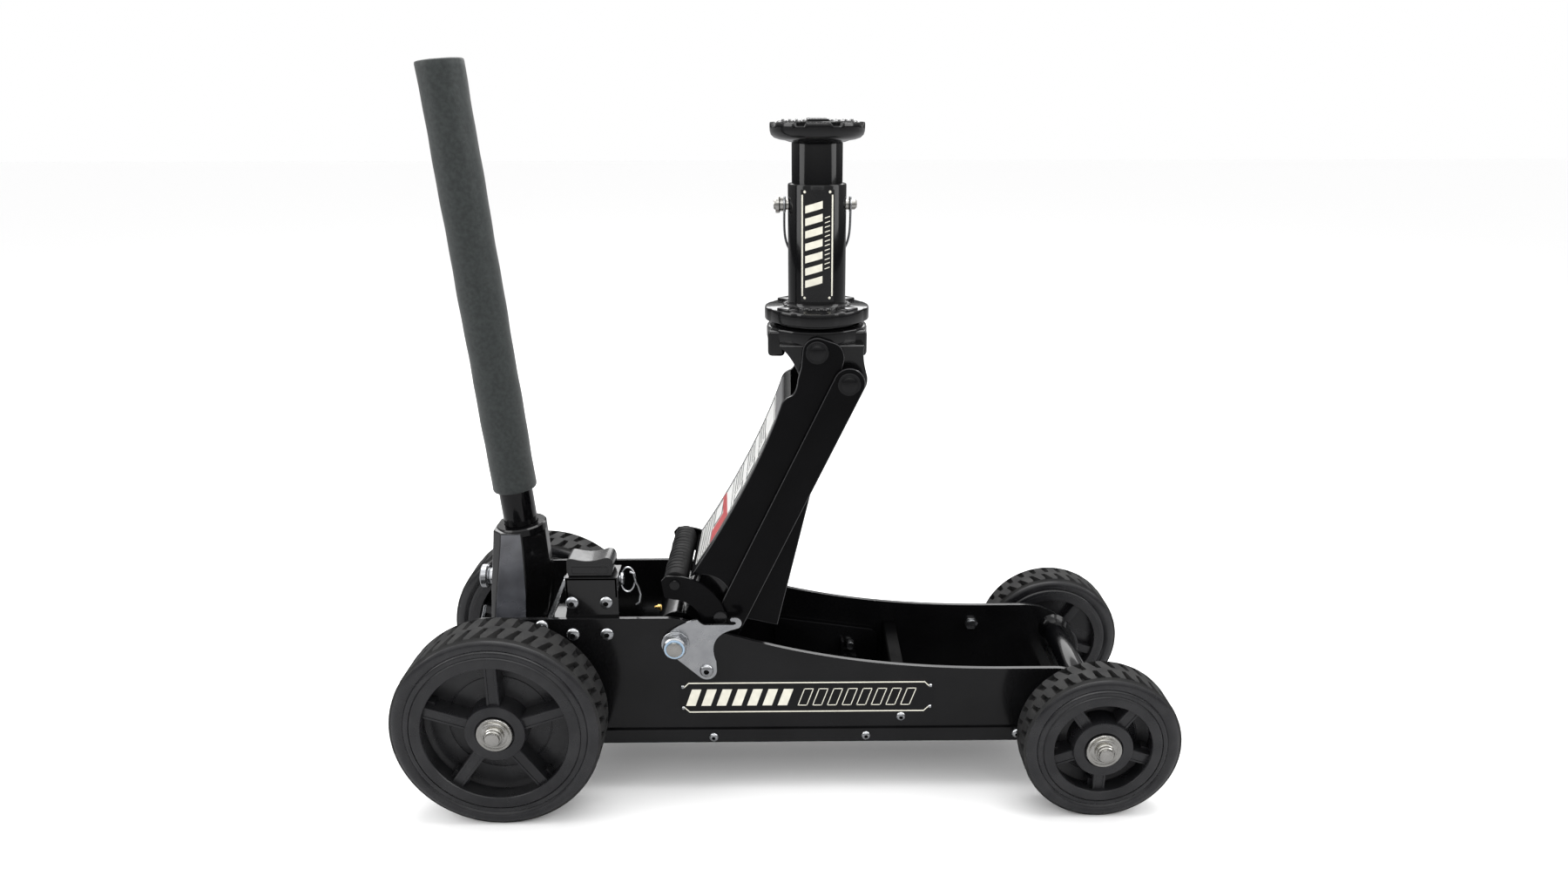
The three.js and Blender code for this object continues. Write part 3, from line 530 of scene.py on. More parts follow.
def button_screw(piece, x, z, face, side, r):
    """A domed head with a hexagon socket standing on a face."""
    h = 4.1
    dome = [(0, face), (r, face), (r, face + side * 0.9)]
    dome += [(r * cos(t), face + side * (0.9 + (h - 0.9) * sin(t)))
             for t in (0.35, 0.7, 1, 1.15)]
    dome += [(r * 0.4, face + side * h), (r * 0.38, face + side * (h - 0.6))]
    piece.turned(dome, ZINC, (x, z), n=36)
    # The hexagon socket is a dark six-sided cone: painted shade in the recess.
    well = [(r * 0.385, face + side * (h - 0.5)), (r * 0.36, face + side * (h - 2.2)),
            (0, face + side * (h - 2.4))]
    piece.turned(well, SHADOW, (x, z), n=6)


for where, side in SIDES.items():
    piece = Piece()
    piece.prism(side_plate_outline(), side * 77.5, side * 82.5, PAINT, 0.7, edge=EDGE_HIGHLIGHT)
    piece.done(f"{where}_frame_plate", "frame", "gloss_black", [f"side_plate_{where}"], True)
    screws = Piece()
    for x, z in ((42.7, 209), (77, 199), (115, 199)):
        button_screw(screws, x, z, side * 82.6, side, 7.5)
    for x, z in ((231, 68.5), (406, 69.5), (579.5, 70.6)):
        button_screw(screws, x, z, side * 85.8, side, 5.4)
    button_screw(screws, 446, 92, side * 82.6, side, 5.6)
    screws.done(f"{where}_plate_screws", "frame", "zinc")

pan = Piece()
half = [(85.6, 77.5), (85.6, 62.6), (84.6, 60.2), (82.2, 59.2)]
section = [(-y, z) for y, z in half] + [(y, z) for y, z in reversed(half)]
section += [(82.9, 77.5), (82.9, 62.2), (-82.9, 62.2), (-82.9, 77.5)]
pan.prism(section, 60, 625, PAINT, 0.5, axis="X")
pan.prism([(-82, 59.2), (82, 59.2), (82, 62.2), (-82, 62.2)], 624, 646, PAINT, 0.5, axis="X",
          place=Matrix.Translation((625, 0, 60)) @ Matrix.Rotation(radians(-12), 4, "Y")
          @ Matrix.Translation((-625, 0, -60)))
pan.done("folded_skid_pan", "frame", "gloss_black", ["skid_pan"], True)

tube = Piece()
tube.rod(14, -77.2, 77.2, TUBE_PAINT, (657, 120), n=56, chamfer=0.5)
for side in (-1, 1):
    tube.turned([(14, side * 72), (15.2, side * 73), (17, side * 75.6), (18.4, side * 77.3)],
                TUBE_PAINT, (657, 120), n=56)
tube.done("nose_cross_tube", "frame", "gloss_black", ["front_cross_tube"])

cross = Piece()
angle = [(437, 62.8), (441, 62.8), (441, 126), (442.5, 127.5), (453, 127.5), (453, 131), (439, 131),
         (437, 129)]
# The cross member takes the darker inner paint: painted shade.
cross.prism(angle, -77.2, 77.2, INNER_SHADE_PAINT, 0.5)
cross.done("frame_bulkhead", "frame", "gloss_black", ["mid_cross_member"], True)

guard = Piece()
outline = [(300, 66), (300, 137), (308, 138), (421, 122)]
outline += curve2((421, 122), (431, 120), (432, 104), 6) + [(432, 66)]
guard.prism(outline, 71.5, 74.5, PAINT, 0.8)
guard.block(384, 404, 58, 71.4, 88, 91.5, PAINT, 0.6)
guard.block(384, 387.5, 58, 71.4, 88, 112, PAINT, 0.6)
guard.rod(5, 60, 71.4, ZINC, (396, 104), n=24)
guard.done("inner_guard", "frame", "gloss_black")
studs = Piece()
for side in (-1, 1):
    studs.rod(6, side * 70, side * 77.3, ZINC, (551, 128), n=24)
    studs.hexagon(15, side * 73, side * 77.3, ZINC, (551, 128))
studs.done("frame_studs", "frame", "zinc")


# ---- side decal, without lettering ----

def slanted_bars(piece, x0, x1, count, share, face, thick, hollow=False):
    """A row of leaning bars, or of their outlines."""
    z0, z1, line = 107, 128, 0.9
    s = (z1 - z0) * 0.35
    pitch = (x1 - x0) / count
    for i in range(count):
        a = x0 + pitch * i
        b = a + pitch * share
        outer = [(a, z0), (b, z0), (b + s, z1), (a + s, z1)]
        if not hollow:
            piece.prism(outer, face, face + thick, CREAM, bevel=0)
            continue
        for p, q in zip(outer, outer[1:] + outer[:1]):
            d = Vector((q[0] - p[0], q[1] - p[1])).normalized() * line / 2
            n = Vector((-d.y, d.x))
            corners = [(p[0] - d.x + n.x, p[1] - d.y + n.y), (q[0] + d.x + n.x, q[1] + d.y + n.y),
                       (q[0] + d.x - n.x, q[1] + d.y - n.y), (p[0] - d.x - n.x, p[1] - d.y - n.y)]
            piece.prism(corners, face, face + thick, CREAM, bevel=0)


for where, side in SIDES.items():
    face, thick = side * 82.62, side * 0.25
    backing = Piece()
    backing.block(193, 483, side * 82.52, side * 82.6, 98, 137, TUBE_PAINT, 0)
    backing.done(f"{where}_badge_plate", "frame", "gloss_black")
    badge = Piece()
    for z, tip in ((136, -1), (99, 1)):
        badge.block(204, 472, face, face + thick, z - 0.7, z + 0.7, CREAM, 0)
        for x, d in ((204, -1), (472, 1)):
            badge.prism([(x, z - 0.7), (x + 6 * d, z + tip * 6 - 0.7), (x + 6 * d, z + tip * 6 + 0.9),
                         (x, z + 0.9)], face, face + thick, CREAM, 0)
    slanted_bars(badge, 200, 322, 7, 0.62, face, thick)
    slanted_bars(badge, 328, 462, 8, 0.6, face, thick, hollow=True)
    badge.done(f"{where}_badge_marks", "frame", "zinc")
    rivets = Piece()
    for x in (197, 479):
        for z in (104, 131):
            rivets.turned([(0, face + side * 1.3), (1.4, face + side * 1), (2.1, face)], ZINC, (x, z),
                          n=20)
    rivets.done(f"{where}_badge_rivets", "frame", "zinc")


# ---- hydraulic unit ----

unit = Piece()
unit.block(18, 22, -46, 46, 66, 146, CAST, 1)
unit.block(21, 59.9, -21, 21, 66, 88, CAST, 1)
unit.block(21, 59.9, -21, 21, 124, 146, CAST, 1)
for y0, y1 in ((-46, -20), (20, 46)):
    unit.block(18.5, 59.9, y0, y1, 66, 146, CAST, 1.5)
unit.block(37, 78, -24, 24, 140, 186, CAST, 3, 3)
for y0, y1 in ((-77.2, -40), (40, 77.2)):
    unit.block(38, 59.6, y0, y1, 100, 138, CAST, 2, 3)
unit.rod(8, 186, 192, ZINC, (66, 12), "Z", 24)
unit.hexagon(14, 186, 194, ZINC, (66, -10), "Z")
unit.rod(9, 145, 151, CAST, (28, 28), "Z", 28)
unit.rod(4, 150, 154, BRASS, (28, 28), "Z", 20)
unit.hexagon(12, 146, 151, ZINC, (28, -30), "Z")
unit.done("cast_power_unit", "frame", "cast_black", ["power_unit"], True)

tank = Piece()
tank.turned([(20, 60.3), (31, 60.3), (32, 61.5), (32, 66), (30.6, 67.4), (30.6, 114), (32, 115.4),
             (32, 122.4), (31, 123.9), (13.4, 123.9), (13.4, 119), (20, 119), (20, 60.3)], CAST,
            (0, 106), "X", 72)
tank.done("turned_ram_cylinder", "frame", "cast_black", ["ram_cylinder"])

rod = Piece()
rod.rod(13, 113, 226, STEEL, (0, 106), "X", 48)
for z0, z1 in ((83, 90.6), (121.4, 129)):
    rod.block(220, 252, -13, 13, z0, z1, STEEL, 1.4)
for x0, x1 in ((220, 227.2), (244.8, 252)):
    rod.block(x0, x1, -13, 13, 84, 128, STEEL, 1.4)
rod.done("ram_and_crosshead", "ram", "steel", ["ram_rod"], True)

pin = Piece()
pin.rod(7, -36, 36, STEEL, (236, 112), n=36)
pin.done("clevis_pin", "lift_arm", "steel", ["ram_pin"])

plunger = Piece()
plunger.rod(8, 13.8, 50, NICKEL, (0, 158), "X", 36, 1.5)
plunger.done("ground_plunger", "plunger", "steel", ["pump_plunger"])

valve = Piece()
valve.rod(6, 4, 20.5, STEEL, (-32, 82), "X", 32)
valve.hexagon(15.5, 2, 10, STEEL, (-32, 82), "X")
valve.done("valve_stem", "valve", "steel", ["release_valve"])


# ---- lift arm ----

def arm_outline():
    points = [(305, 198), (378, 507)]
    bend(points, (378, 522), (366, 525.5), n=8)
    points += arc(349, 515, 15.5, 75, 180, 16)
    points += [(332, 499), (328.5, 485)]
    bend(points, (327, 470), (321, 467.5), n=6)
    bend(points, (314, 465), (311, 459), n=5)
    bend(points, (290, 395), (244, 312), (207, 258), n=24)
    points += [(215, 261)] + curve2((215, 261), (238, 262), (248, 246), 6)
    points += curve2((248, 246), (254, 226), (262, 214), 5) + [(271, 206)]
    return points


for where, side in SIDES.items():
    piece = Piece()
    piece.prism(arm_outline(), side * 57, side * 62, ARM_SHADED_PAINT, 0.9, edge=EDGE_HIGHLIGHT)
    piece.done(f"{where}_arm_side", "lift_arm", "gloss_black", [f"arm_plate_{where}"], True)

root = Piece()
web = [(178, 200), (200, 212), (224, 266), (252, 312), (300, 332), (328, 306), (303, 208), (262, 200),
       (214, 176), (190, 170)]
for y0, y1 in ((-56.7, -14.6), (14.6, 56.7)):
    root.prism(web, y0, y1, CAST, 3, 3)
root.prism([(205, 214), (224, 266), (252, 312), (300, 332), (328, 306), (303, 208), (250, 215)], -15, 15,
           CAST, 1)
root.rod(26, -56.7, 56.7, CAST, ARM_PIVOT, n=64, chamfer=2)
for side in (-1, 1):
    cheek = [(174, 168)] + arc(236, 112, 17, 215, 375, 16) + [(258, 190), (205, 206)]
    root.prism(cheek, side * 14.6, side * 34, CAST, 2, 3)
root.done("cast_arm_root", "lift_arm", "cast_black", ["arm_root"], True)

nipple = Piece()
nipple.turned([(0, 157.5), (1.2, 157.7), (1.9, 159), (1.5, 160.2), (1.6, 161.2), (3.2, 161.6),
               (3.2, 165.2), (0, 166)], BRASS, (0, 190.8), "X", 24)
nipple.done("grease_nipple", "lift_arm", "zinc")


def cover_line(offset):
    """The rear edge of the arm, moved into the arm by an offset."""
    edge = [(207.6, 259.5)] + bezier((207.6, 259.5), (244, 312), (290, 395), (311, 458), 22)
    bend(edge, (314, 464), (321, 466.5), n=5)
    moved = []
    for i, p in enumerate(edge):
        a = Vector(edge[max(i - 1, 0)])
        b = Vector(edge[min(i + 1, len(edge) - 1)])
        d = (b - a).normalized()
        moved.append((p[0] + d.y * offset, p[1] - d.x * offset))
    return moved


cover = Piece()
cover.prism(cover_line(0) + list(reversed(cover_line(3))), -56.7, 56.7, PAINT, 0.5)
cover.done("arm_back_cover", "lift_arm", "gloss_black", ["arm_cover"], True)


def sheet(piece, top, low, look):
    """A thin closed sheet between two grids of points, each a list of pairs."""
    before = set(piece.bm.faces)
    top, low = ([[piece.bm.verts.new(p) for p in pair] for pair in grid] for grid in (top, low))
    for a, b, c, d in zip(top, top[1:], low, low[1:]):
        for quad in ((a[0], a[1], b[1], b[0]), (c[0], d[0], d[1], c[1]),
                     (a[0], b[0], d[0], c[0]), (a[1], b[1], d[1], c[1])):
            piece.bm.faces.new(quad)
    for a, c in ((top[0], low[0]), (top[-1], low[-1])):
        piece.bm.faces.new((a[0], a[1], c[1], c[0]))
    piece._added(before, look)


def cover_patch(piece, s0, s1, y0, y1, lift, look, skew=0):
    """A thin sheet lying on the arm's back cover between two shares of its length."""
    steps, parts = 18, 22
    grids = []
    for line in (cover_line(-lift), cover_line(-lift + 0.18)):
        grid = []
        for i in range(steps + 1):
            pair = []
            for y, extra in ((y0, 0), (y1, skew)):
                t = min(max((s0 + extra + (s1 - s0) * i / steps) * parts, 0), parts - 0.001)
                k = int(t)
                f = t - k
                x, z = (p * (1 - f) + q * f for p, q in zip(line[k], line[k + 1]))
                pair.append((x, y, z))
            grid.append(pair)
        grids.append(grid)
    sheet(piece, *grids, look)


label = Piece()
cover_patch(label, 0.05, 0.9, -50, 50, 0.3, WHITE)
cover_patch(label, 0.33, 0.37, -50, 50, 0.5, RED, -0.05)
cover_patch(label, 0.2, 0.33, -50, -14, 0.5, RED, 0)
for s in (0.43, 0.56, 0.69):
    cover_patch(label, s, s + 0.09, -46, -22, 0.5, INK)
    cover_patch(label, s + 0.01, s + 0.08, -42, -26, 0.62, WHITE)
    for k in range(4):
        cover_patch(label, s + 0.024 * k, s + 0.024 * k + 0.007, -16, 44, 0.5, INK)
for k in range(4):
    cover_patch(label, 0.09 + 0.025 * k, 0.097 + 0.025 * k, -44, 44, 0.5, INK)
for y0, y1 in ((-48.6, -47.2), (47.2, 48.6)):
    cover_patch(label, 0.06, 0.89, y0, y1, 0.45, INK)
for s in (0.06, 0.19, 0.4, 0.885):
    cover_patch(label, s, s + 0.006, -48, 48, 0.45, INK)
cover_patch(label, 0.21, 0.3, -10, 44, 0.5, INK)
cover_patch(label, 0.22, 0.29, -6, 40, 0.62, WHITE)
label.done("plain_cover_label", "lift_arm", "zinc")

shaft = Piece()
shaft.rod(12, -97, -77, ZINC, ARM_PIVOT, n=48, chamfer=1.2)
shaft.rod(12, -77, 88, INNER_SHADE_PAINT, ARM_PIVOT, n=48, chamfer=1.2)
shaft.hexagon(27, 86.1, 96.4, ZINC, ARM_PIVOT, turn=12)
shaft.rod(9, -100, -96, NICKEL, ARM_PIVOT, n=40, chamfer=1)
shaft.done("arm_pivot_bolt", "frame", "steel", ["arm_pivot_shaft"])
nut = Piece()
nut.hexagon(24.5, -94, -86.3, ZINC, ARM_PIVOT, turn=10, bevel=1)
nut.ring(13.2, 9.4, -97.6, -93.5, ZINC, ARM_PIVOT, chamfer=1.4)
nut.ring(15.8, 12.3, -86.8, -86, ZINC, ARM_PIVOT, chamfer=0.3)
nut.ring(11.2, 9.2, -98.2, -96.6, NYLON, ARM_PIVOT, chamfer=0.4)
nut.done("arm_lock_nut", "frame", "zinc", ["arm_pivot_nut"])


# ---- links and pins ----

LEAN = degrees(atan2(328, 158))
for where, side in SIDES.items():
    piece = Piece()
    outline = arc(383, 482, 17, LEAN - 90, LEAN + 90, 20)
    outline += arc(*LINK_FOOT, 17, LEAN + 90, LEAN + 270, 20)
    piece.prism(outline, side * 63, side * 68, ARM_SHADED_PAINT, 0.9, edge=EDGE_HIGHLIGHT)
    piece.done(f"{where}_link_bar", "links", "gloss_black", [f"link_{where}"], True)
    stub = Piece()
    stub.rod(8, side * 62.6, side * 86.2, ZINC, LINK_FOOT, n=36)
    button_screw(stub, *LINK_FOOT, side * 85.9, side, 7.8)
    stub.done(f"{where}_link_screw", "frame", "zinc", [f"link_stub_{where}"])


def headed_pin(name, x, z, end, body, node, washer):
    piece = Piece()
    piece.rod(9.4, -end + 1, end - 1, PAINT, (x, z), n=44, chamfer=0.8)
    for side in (-1, 1):
        profile = [(0, end), (6.2, end), (7.2, end - 0.5), (8.2, end - 0.8), (8.2, end - 1.6),
                   (11.6, end - 1.6), (12.2, end - 2), (12.2, washer), (0, washer)]
        piece.turned([(r, side * h) for r, h in profile], PAINT, (x, z), n=44)
    piece.done(name, body, "gloss_black", [node])


headed_pin("upper_arm_pin", 349, 515, 66, "lift_arm", "head_pin", 62.2)
headed_pin("upper_link_pin", 383, 482, 71.5, "links", "link_pin", 68.2)


# ---- saddle head ----

def head_wave(r, h, turn):
    ears = max(0, cos(2 * turn)) ** 0.5
    return (r - (1 - ears) * 3 if r > 40 else r), h


head = Piece()
head.turned([(0, 516), (48, 516), (52.5, 517), (54.4, 519), (55, 522), (55, 531), (54.2, 533.6),
             (52, 535.3), (48, 535.9), (19.3, 535.9), (19.3, 528), (0, 528)], CAST, POST, "Z", 96,
            wave=head_wave)
neck = [(308, 520)] + curve2((308, 520), (323, 507), (330, 487), 8) + [(352, 467)]
neck += arc(383, 482, 20.5, 232, 372, 22) + curve2((403, 487), (397, 506), (400, 520), 8)
for y0, y1 in ((-50, -24), (24, 50)):
    head.prism(neck, y0, y1, CAST, 3, 3)
head.prism([(322, 520), (334, 496), (360, 478), (392, 474), (398, 520)], -26, 26, CAST, 2, 3)
for x0, x1 in ((296.5, 315), (386, 403.5)):
    head.block(x0, x1, -34, 34, 504, 533, CAST, 4.5, 3)
head.done("cast_saddle_head", "head", "cast_black", ["saddle_head"], True)


# ---- extension post ----

def flange_wave(r, h, turn):
    if r < 45:
        return r, h
    lug = max(0, cos(4 * turn)) ** 0.3
    return r + 1.8 - 2.2 * (1 - lug), h


post = Piece()
post.turned([(0, 528.4), (18, 528.4), (19, 529.4), (19, 536.4), (45, 536.4), (46, 537.2), (46, 539.6),
             (53.6, 540), (54.8, 540.8), (55.2, 542), (55.2, 552.4), (54.6, 554), (53, 554.8), (34.2, 555),
             (32.6, 556), (31.4, 558.2), (31.2, 561)], CAST, POST, "Z", 96, wave=flange_wave)
post.turned([(31.2, 559), (31.2, 683.6), (30.6, 684.7), (29.6, 685), (28.2, 685), (27.5, 684.4),
             (27.4, 683), (27.4, 560)], TUBE_PAINT, POST, "Z", 96)
at_post = Matrix.Translation((350, 0, 0))
for turn in (45, 135, 225, 315):
    spin = at_post @ Matrix.Rotation(radians(turn), 4, "Z") @ at_post.inverted()
    post.block(386, 403, -9, 9, 551, 557.5, CAST, 1.6, 3, spin)
for i in range(28):
    turn = 2 * pi * i / 28
    spot = (350 + 34.6 * cos(turn), 34.6 * sin(turn))
    post.turned([(0, 557.2), (1.8, 556.7), (2.9, 554.8)], CAST, spot, "Z", 12)
post.done("extension_post", "post", "cast_black", ["extension_base"], sharp=34)

inner = Piece()
inner.turned([(20, 572), (26.6, 572), (27, 573), (27, 726), (26.6, 727), (12.3, 727)], TUBE_PAINT,
             POST, "Z", 96)
# The holes through the inner tube are dark cones: painted shade.
for k in range(3):
    z = 663 - 37.5 * k
    for side in (-1, 1):
        inner.turned([(0, side * 25), (6.4, side * 26.7), (7.4, side * 27.1)], SHADOW, (0, z), "X", 28,
                     place=at_post)
inner.done("inner_post_tube", "inner_post", "cast_black", ["extension_slide"])


def post_plate():
    """The slightly curved badge plate on the post's near side, without lettering."""
    piece = Piece()
    r = 31.35

    def strip(u0, u1, z0, z1, lift, look, cols, skew=0):
        grids = []
        for rr in (r + lift, r + lift - 0.2):
            grid = []
            for i in range(cols + 1):
                u = (u1 - u0) * i / cols
                a = (u0 + u) / 31.2
                grid.append([(350 + rr * sin(a), -rr * cos(a), z + skew * u) for z in (z0, z1)])
            grids.append(grid)
        sheet(piece, *grids, look)

    strip(-18.6, 18.2, 563, 680, 0.2, MOULDED, 12)
    strip(-17.6, -15.9, 569, 675, 0.45, CREAM, 1)
    strip(15, 16.7, 569, 675, 0.45, CREAM, 1)
    for i in range(7):
        strip(-13.2, 5, 578 + 13 * i, 585.6 + 13 * i, 0.45, CREAM, 6, 0.3)
    for i in range(6):
        z = 598 + 9.6 * i
        strip(7.4, 13, z, z + 0.9, 0.45, CREAM, 3, 0.3)
        strip(7.4, 13, z + 5, z + 5.9, 0.45, CREAM, 3, 0.3)
    for u in (-14, 13):
        for z in (567, 678):
            a = u / 31.2
            spot = Vector((350 + 31.5 * sin(a), -31.5 * cos(a), z))
            turn = Matrix.Translation(spot) @ Matrix.Rotation(a, 4, "Z")
            piece.turned([(0, -1.1), (1, -0.8), (1.5, 0)], CREAM, n=18, place=turn)
    piece.done("post_badge", "post", "gloss_black")


post_plate()


def rim_wave(r, h, turn):
    if r > 43 and h > 744:
        notch = 1 if cos(8 * turn) < -0.72 else 0
        return r - 0.4 * notch, h - 3.2 * notch
    return r, h


saddle = Piece()
saddle.turned([(0, 700), (12, 700), (12, 727.3), (29.6, 727.3), (31, 727.8), (34, 728.8), (40, 729.8),
               (45.4, 731.6), (48.6, 734.6), (49.8, 738.4), (50, 743), (50, 746), (49.4, 747.3),
               (47.6, 747.5), (45.4, 747.2), (44.2, 745.6), (43.6, 743.4), (42.8, 743)], CAST, POST, "Z", 144,
              wave=rim_wave)
saddle.turned([(43, 743), (42, 743.2), (42, 747.8), (41.4, 748.6), (0, 748.6)], CAST, POST, "Z", 96)
for i in range(-5, 6):
    for j in range(-5, 6):
        x, y = i * 7.2, j * 7.2
        if hypot(x, y) > 38 or abs(x) < 14:
            continue
        saddle.turned([(2.8, 748.5), (1.4, 750.2), (0, 750.6)], CAST, (350 + x, y), "Z", 8)
saddle.block(339, 361, -34, 34, 748, 751, CAST, 0.8)
for j in range(-6, 7):
    saddle.block(341, 359, j * 5 - 0.9, j * 5 + 0.9, 750.6, 751.5, CAST, 0.4)
saddle.done("toothed_saddle", "saddle", "cast_black", ["top_saddle"])


# ---- lock pin and its wire bail ----

lock = Piece()
lock.rod(5.9, 304, 391, NICKEL, (0, 663), "X", 32, 1.5)
lock.turned([(0, 303.6), (4.6, 303.6), (5.2, 304.4), (5.2, 305.8), (9, 305.8), (9.3, 306.6), (9.3, 309.4),
             (8.6, 310.4), (7.4, 310.8), (7.4, 313.8), (0, 313.8)], NICKEL, (0, 663), "X", 36)
lock.turned([(0, 392.6), (3.4, 392.4), (5, 391), (5, 389.6), (4, 389.2), (4, 387.6), (5.9, 387.2),
             (0, 387.2)], NICKEL, (0, 663), "X", 32)
lock.done("post_lock_pin", "lock_pin", "zinc", ["quick_pin"])

bail = Piece()
tilt = radians(62)
path = []
for i in range(49):
    turn = pi * i / 48
    out = 7 + 69 * max(sin(turn), 0) ** 0.6
    x = 350.5 - 35.5 * cos(turn) * (1 + 0.1 * sin(turn))
    path.append((x, out * cos(tilt), 663 - out * sin(tilt)))
bail.wire(path, 1.3, STEEL)
for x in (315.4, 385.4):
    eye = [(x, 7.6 * cos(t), 663 + 7.6 * sin(t)) for t in
           [2 * pi * k / 28 for k in range(28)]]
    bail.wire(eye, 1.3, STEEL, closed=True)
bail.done("lock_pin_bail", "bail", "zinc", ["pin_bail"])


# ---- hook brackets and carrying handle ----

def hook_outline():
    points = arc(*ARM_PIVOT, 15, 126, 256, 16)
    points += arc(*LINK_FOOT, 11.5, 234, 360, 14)
    points += [(236, 165)]
    bend(points, (230, 182), (232, 200), (259, 205.5), n=12)
    points += arc(258.5, 212.5, 6.8, -90, 90, 12)
    points += [(254, 219)] + curve2((254, 219), (251.5, 216.5), (254, 214.6), 4)
    points += curve2((254, 214.6), (260, 215), (259, 211.6), 4) + [(256, 210.4)]
    points += [(224.5, 210.5)] + curve2((224.5, 210.5), (220.5, 211), (216, 217), 5)
    bend(points, (200, 214), (187, 204), n=6)
    return points


for where, side in SIDES.items():
    piece = Piece()
    piece.prism(hook_outline(), side * 82.8, side * 85.5, ZINC, 0.5)
    piece.done(f"{where}_zinc_hook", "frame", "zinc", [f"hook_bracket_{where}"], True)
    band = [(220, 204)] + arc(188, 204, 32, 0, 88, 20) + [(179, 239), (176, 258)]
    band += arc(188, 204, 60.5, 96, 0, 28) + [(248.5, 193), (218, 178)]
    band += arc(*ARM_PIVOT, 17, -45, -270, 20)
    piece = Piece()
    piece.prism(band, side * 70, side * 74, ARM_SHADED_PAINT, 0.9)
    piece.rod(8, side * 69.2, side * 76.2, MOULDED, (241, 214), n=32, chamfer=1.6)
    piece.rod(6, side * 69.9, side * 76.6, PAINT, GRIP_AXIS, n=28, chamfer=1.4)
    piece.done(f"{where}_carry_band", "carry_handle", "gloss_black", [f"carry_arm_{where}"], True)


def grip_wave(r, h, turn):
    if r < 12.6:
        return r, h
    back = max(0, cos(turn - radians(135)))
    crease = 0
    for k in range(-3, 4):
        crease = max(crease, 1 - abs(h - k * 17 - 4) / 1.3, 1 - abs(h - k * 17 + 4) / 1.3)
    return r - 1.6 * crease * back ** 0.7 - 0.5 * back * abs(sin(h * pi / 34)), h


grip = Piece()
heights = [-69.7 + 139.4 * i / 186 for i in range(187)]
profile = [(0, -69.7), (9, -69.7), (11.6, -69)] + [(14 - 1.6 * (abs(h) / 69.7) ** 12, h)
                                                  for h in heights[2:-2]]
profile += [(11.6, 69), (9, 69.7), (0, 69.7)]
grip.turned(profile, GRIP, GRIP_AXIS, n=48, wave=grip_wave)
grip.done("carry_grip_sleeve", "carry_handle", "grip_rubber", ["carry_grip"])


# ---- handle ----

LEAN_BACK = Matrix.Translation((7.6, 0, 300)) @ Matrix.Rotation(radians(-5.05), 4, "Y")

tube = Piece()
tube.turned([(0, -90), (18.4, -90), (18.9, -89), (18.9, 510.5), (18.2, 511.8), (17, 512), (0, 512)],
            TUBE_PAINT, axis="Z", n=72, place=LEAN_BACK)
tube.done("handle_lower_tube", "handle", "gloss_black", ["handle_tube"])


def sleeve_wave(r, h, turn):
    wobble = 0.25 * sin(h * 0.05 + 1) + 0.15 * sin(h * 0.13 + 3 * turn)
    return (r + wobble if r > 24 else r), h


sleeve = Piece()
profile = [(19.3, 43.2), (21.5, 42.9), (23.6, 43.4), (24.4, 44.6)]
profile += [(24.7, 46 + 463 * i / 90) for i in range(91)]
profile += [(24.2, 510.6), (22.6, 511.5), (19.3, 511.5), (19.3, 43.2)]
sleeve.turned(profile, FOAM, axis="Z", n=72, place=LEAN_BACK, wave=sleeve_wave)
sleeve.done("handle_foam_sleeve", "handle", "foam", ["handle_sleeve"])


def socket_section(z, x0, x1, half, face, left):
    """An eight-sided section with a flat near and far face of the given width."""
    right = x1 - x0 - face - left
    back, front = -half + left, -half + min(right * 0.95, half - 4)
    return [(x0, back, z), (x0 + left, -half, z), (x1 - right, -half, z), (x1, front, z),
            (x1, -front, z), (x1 - right, half, z), (x0 + left, half, z), (x0, -back, z)]


socket = Piece()
levels = [socket_section(180, -20, 28, 30, 34, 3), socket_section(188, -29, 33, 34, 37, 5),
          socket_section(226, -27, 40.5, 32.8, 34, 8), socket_section(284, -22, 37, 29.6, 25, 11),
          socket_section(298, -20.8, 36, 29, 23, 11)]
rings = [[socket.bm.verts.new(p) for p in level] for level in levels]
socket.bm.faces.new(rings[0])
for low, high in zip(rings, rings[1:]):
    socket.skin(low, high)
socket.bm.faces.new(rings[-1])
socket._added(set(), CAST, 1.6, 3)
# The near and far flat faces take the lighter paint: a painted reflection on them.
painted_glare = socket._index(SOCKET_PAINTED_GLARE)
for f in socket.bm.faces:
    if abs(f.normal.y) > 0.97:
        f.material_index = painted_glare
socket.ring(28.8, 19.5, -9, 1.2, TUBE_PAINT, axis="Z", n=72, chamfer=1.6, place=LEAN_BACK)
# The inside of the bore is a dark sleeve: painted shade.
socket.turned([(19.4, 1), (19.4, -40)], SHADOW, axis="Z", n=48, place=LEAN_BACK)
socket.rod(11.8, -34, 34, CAST, HANDLE_PIVOT, n=48, chamfer=2)
socket.block(1, 11, -12, 12, 158, 170, CAST, 1)
socket.rod(7, -12, 12, STEEL, (6, 158), n=36)
socket.done("cast_handle_socket", "socket", "cast_black", ["handle_socket"], True)

clamp = Piece()
clamp.turned([(0, -44.6), (8.5, -44.6), (9.4, -43.6), (12.6, -43.2), (14, -42), (14, -36.4), (12.6, -34.6),
              (6, -34.2), (6, -8), (5, -6.8), (0, -6.8)], ZINC, (0, 233), "X", 48)
clamp.hexagon(17, -34.3, -29.6, ZINC, (0, 233), "X")
for k in range(9):
    x = -28 + k * 2.2
    clamp.turned([(6, x), (6.5, x + 0.5), (6, x + 1)], ZINC, (0, 233), "X", 32)
clamp.done("knurled_clamp_screw", "clamp", "zinc", ["clamp_screw"])

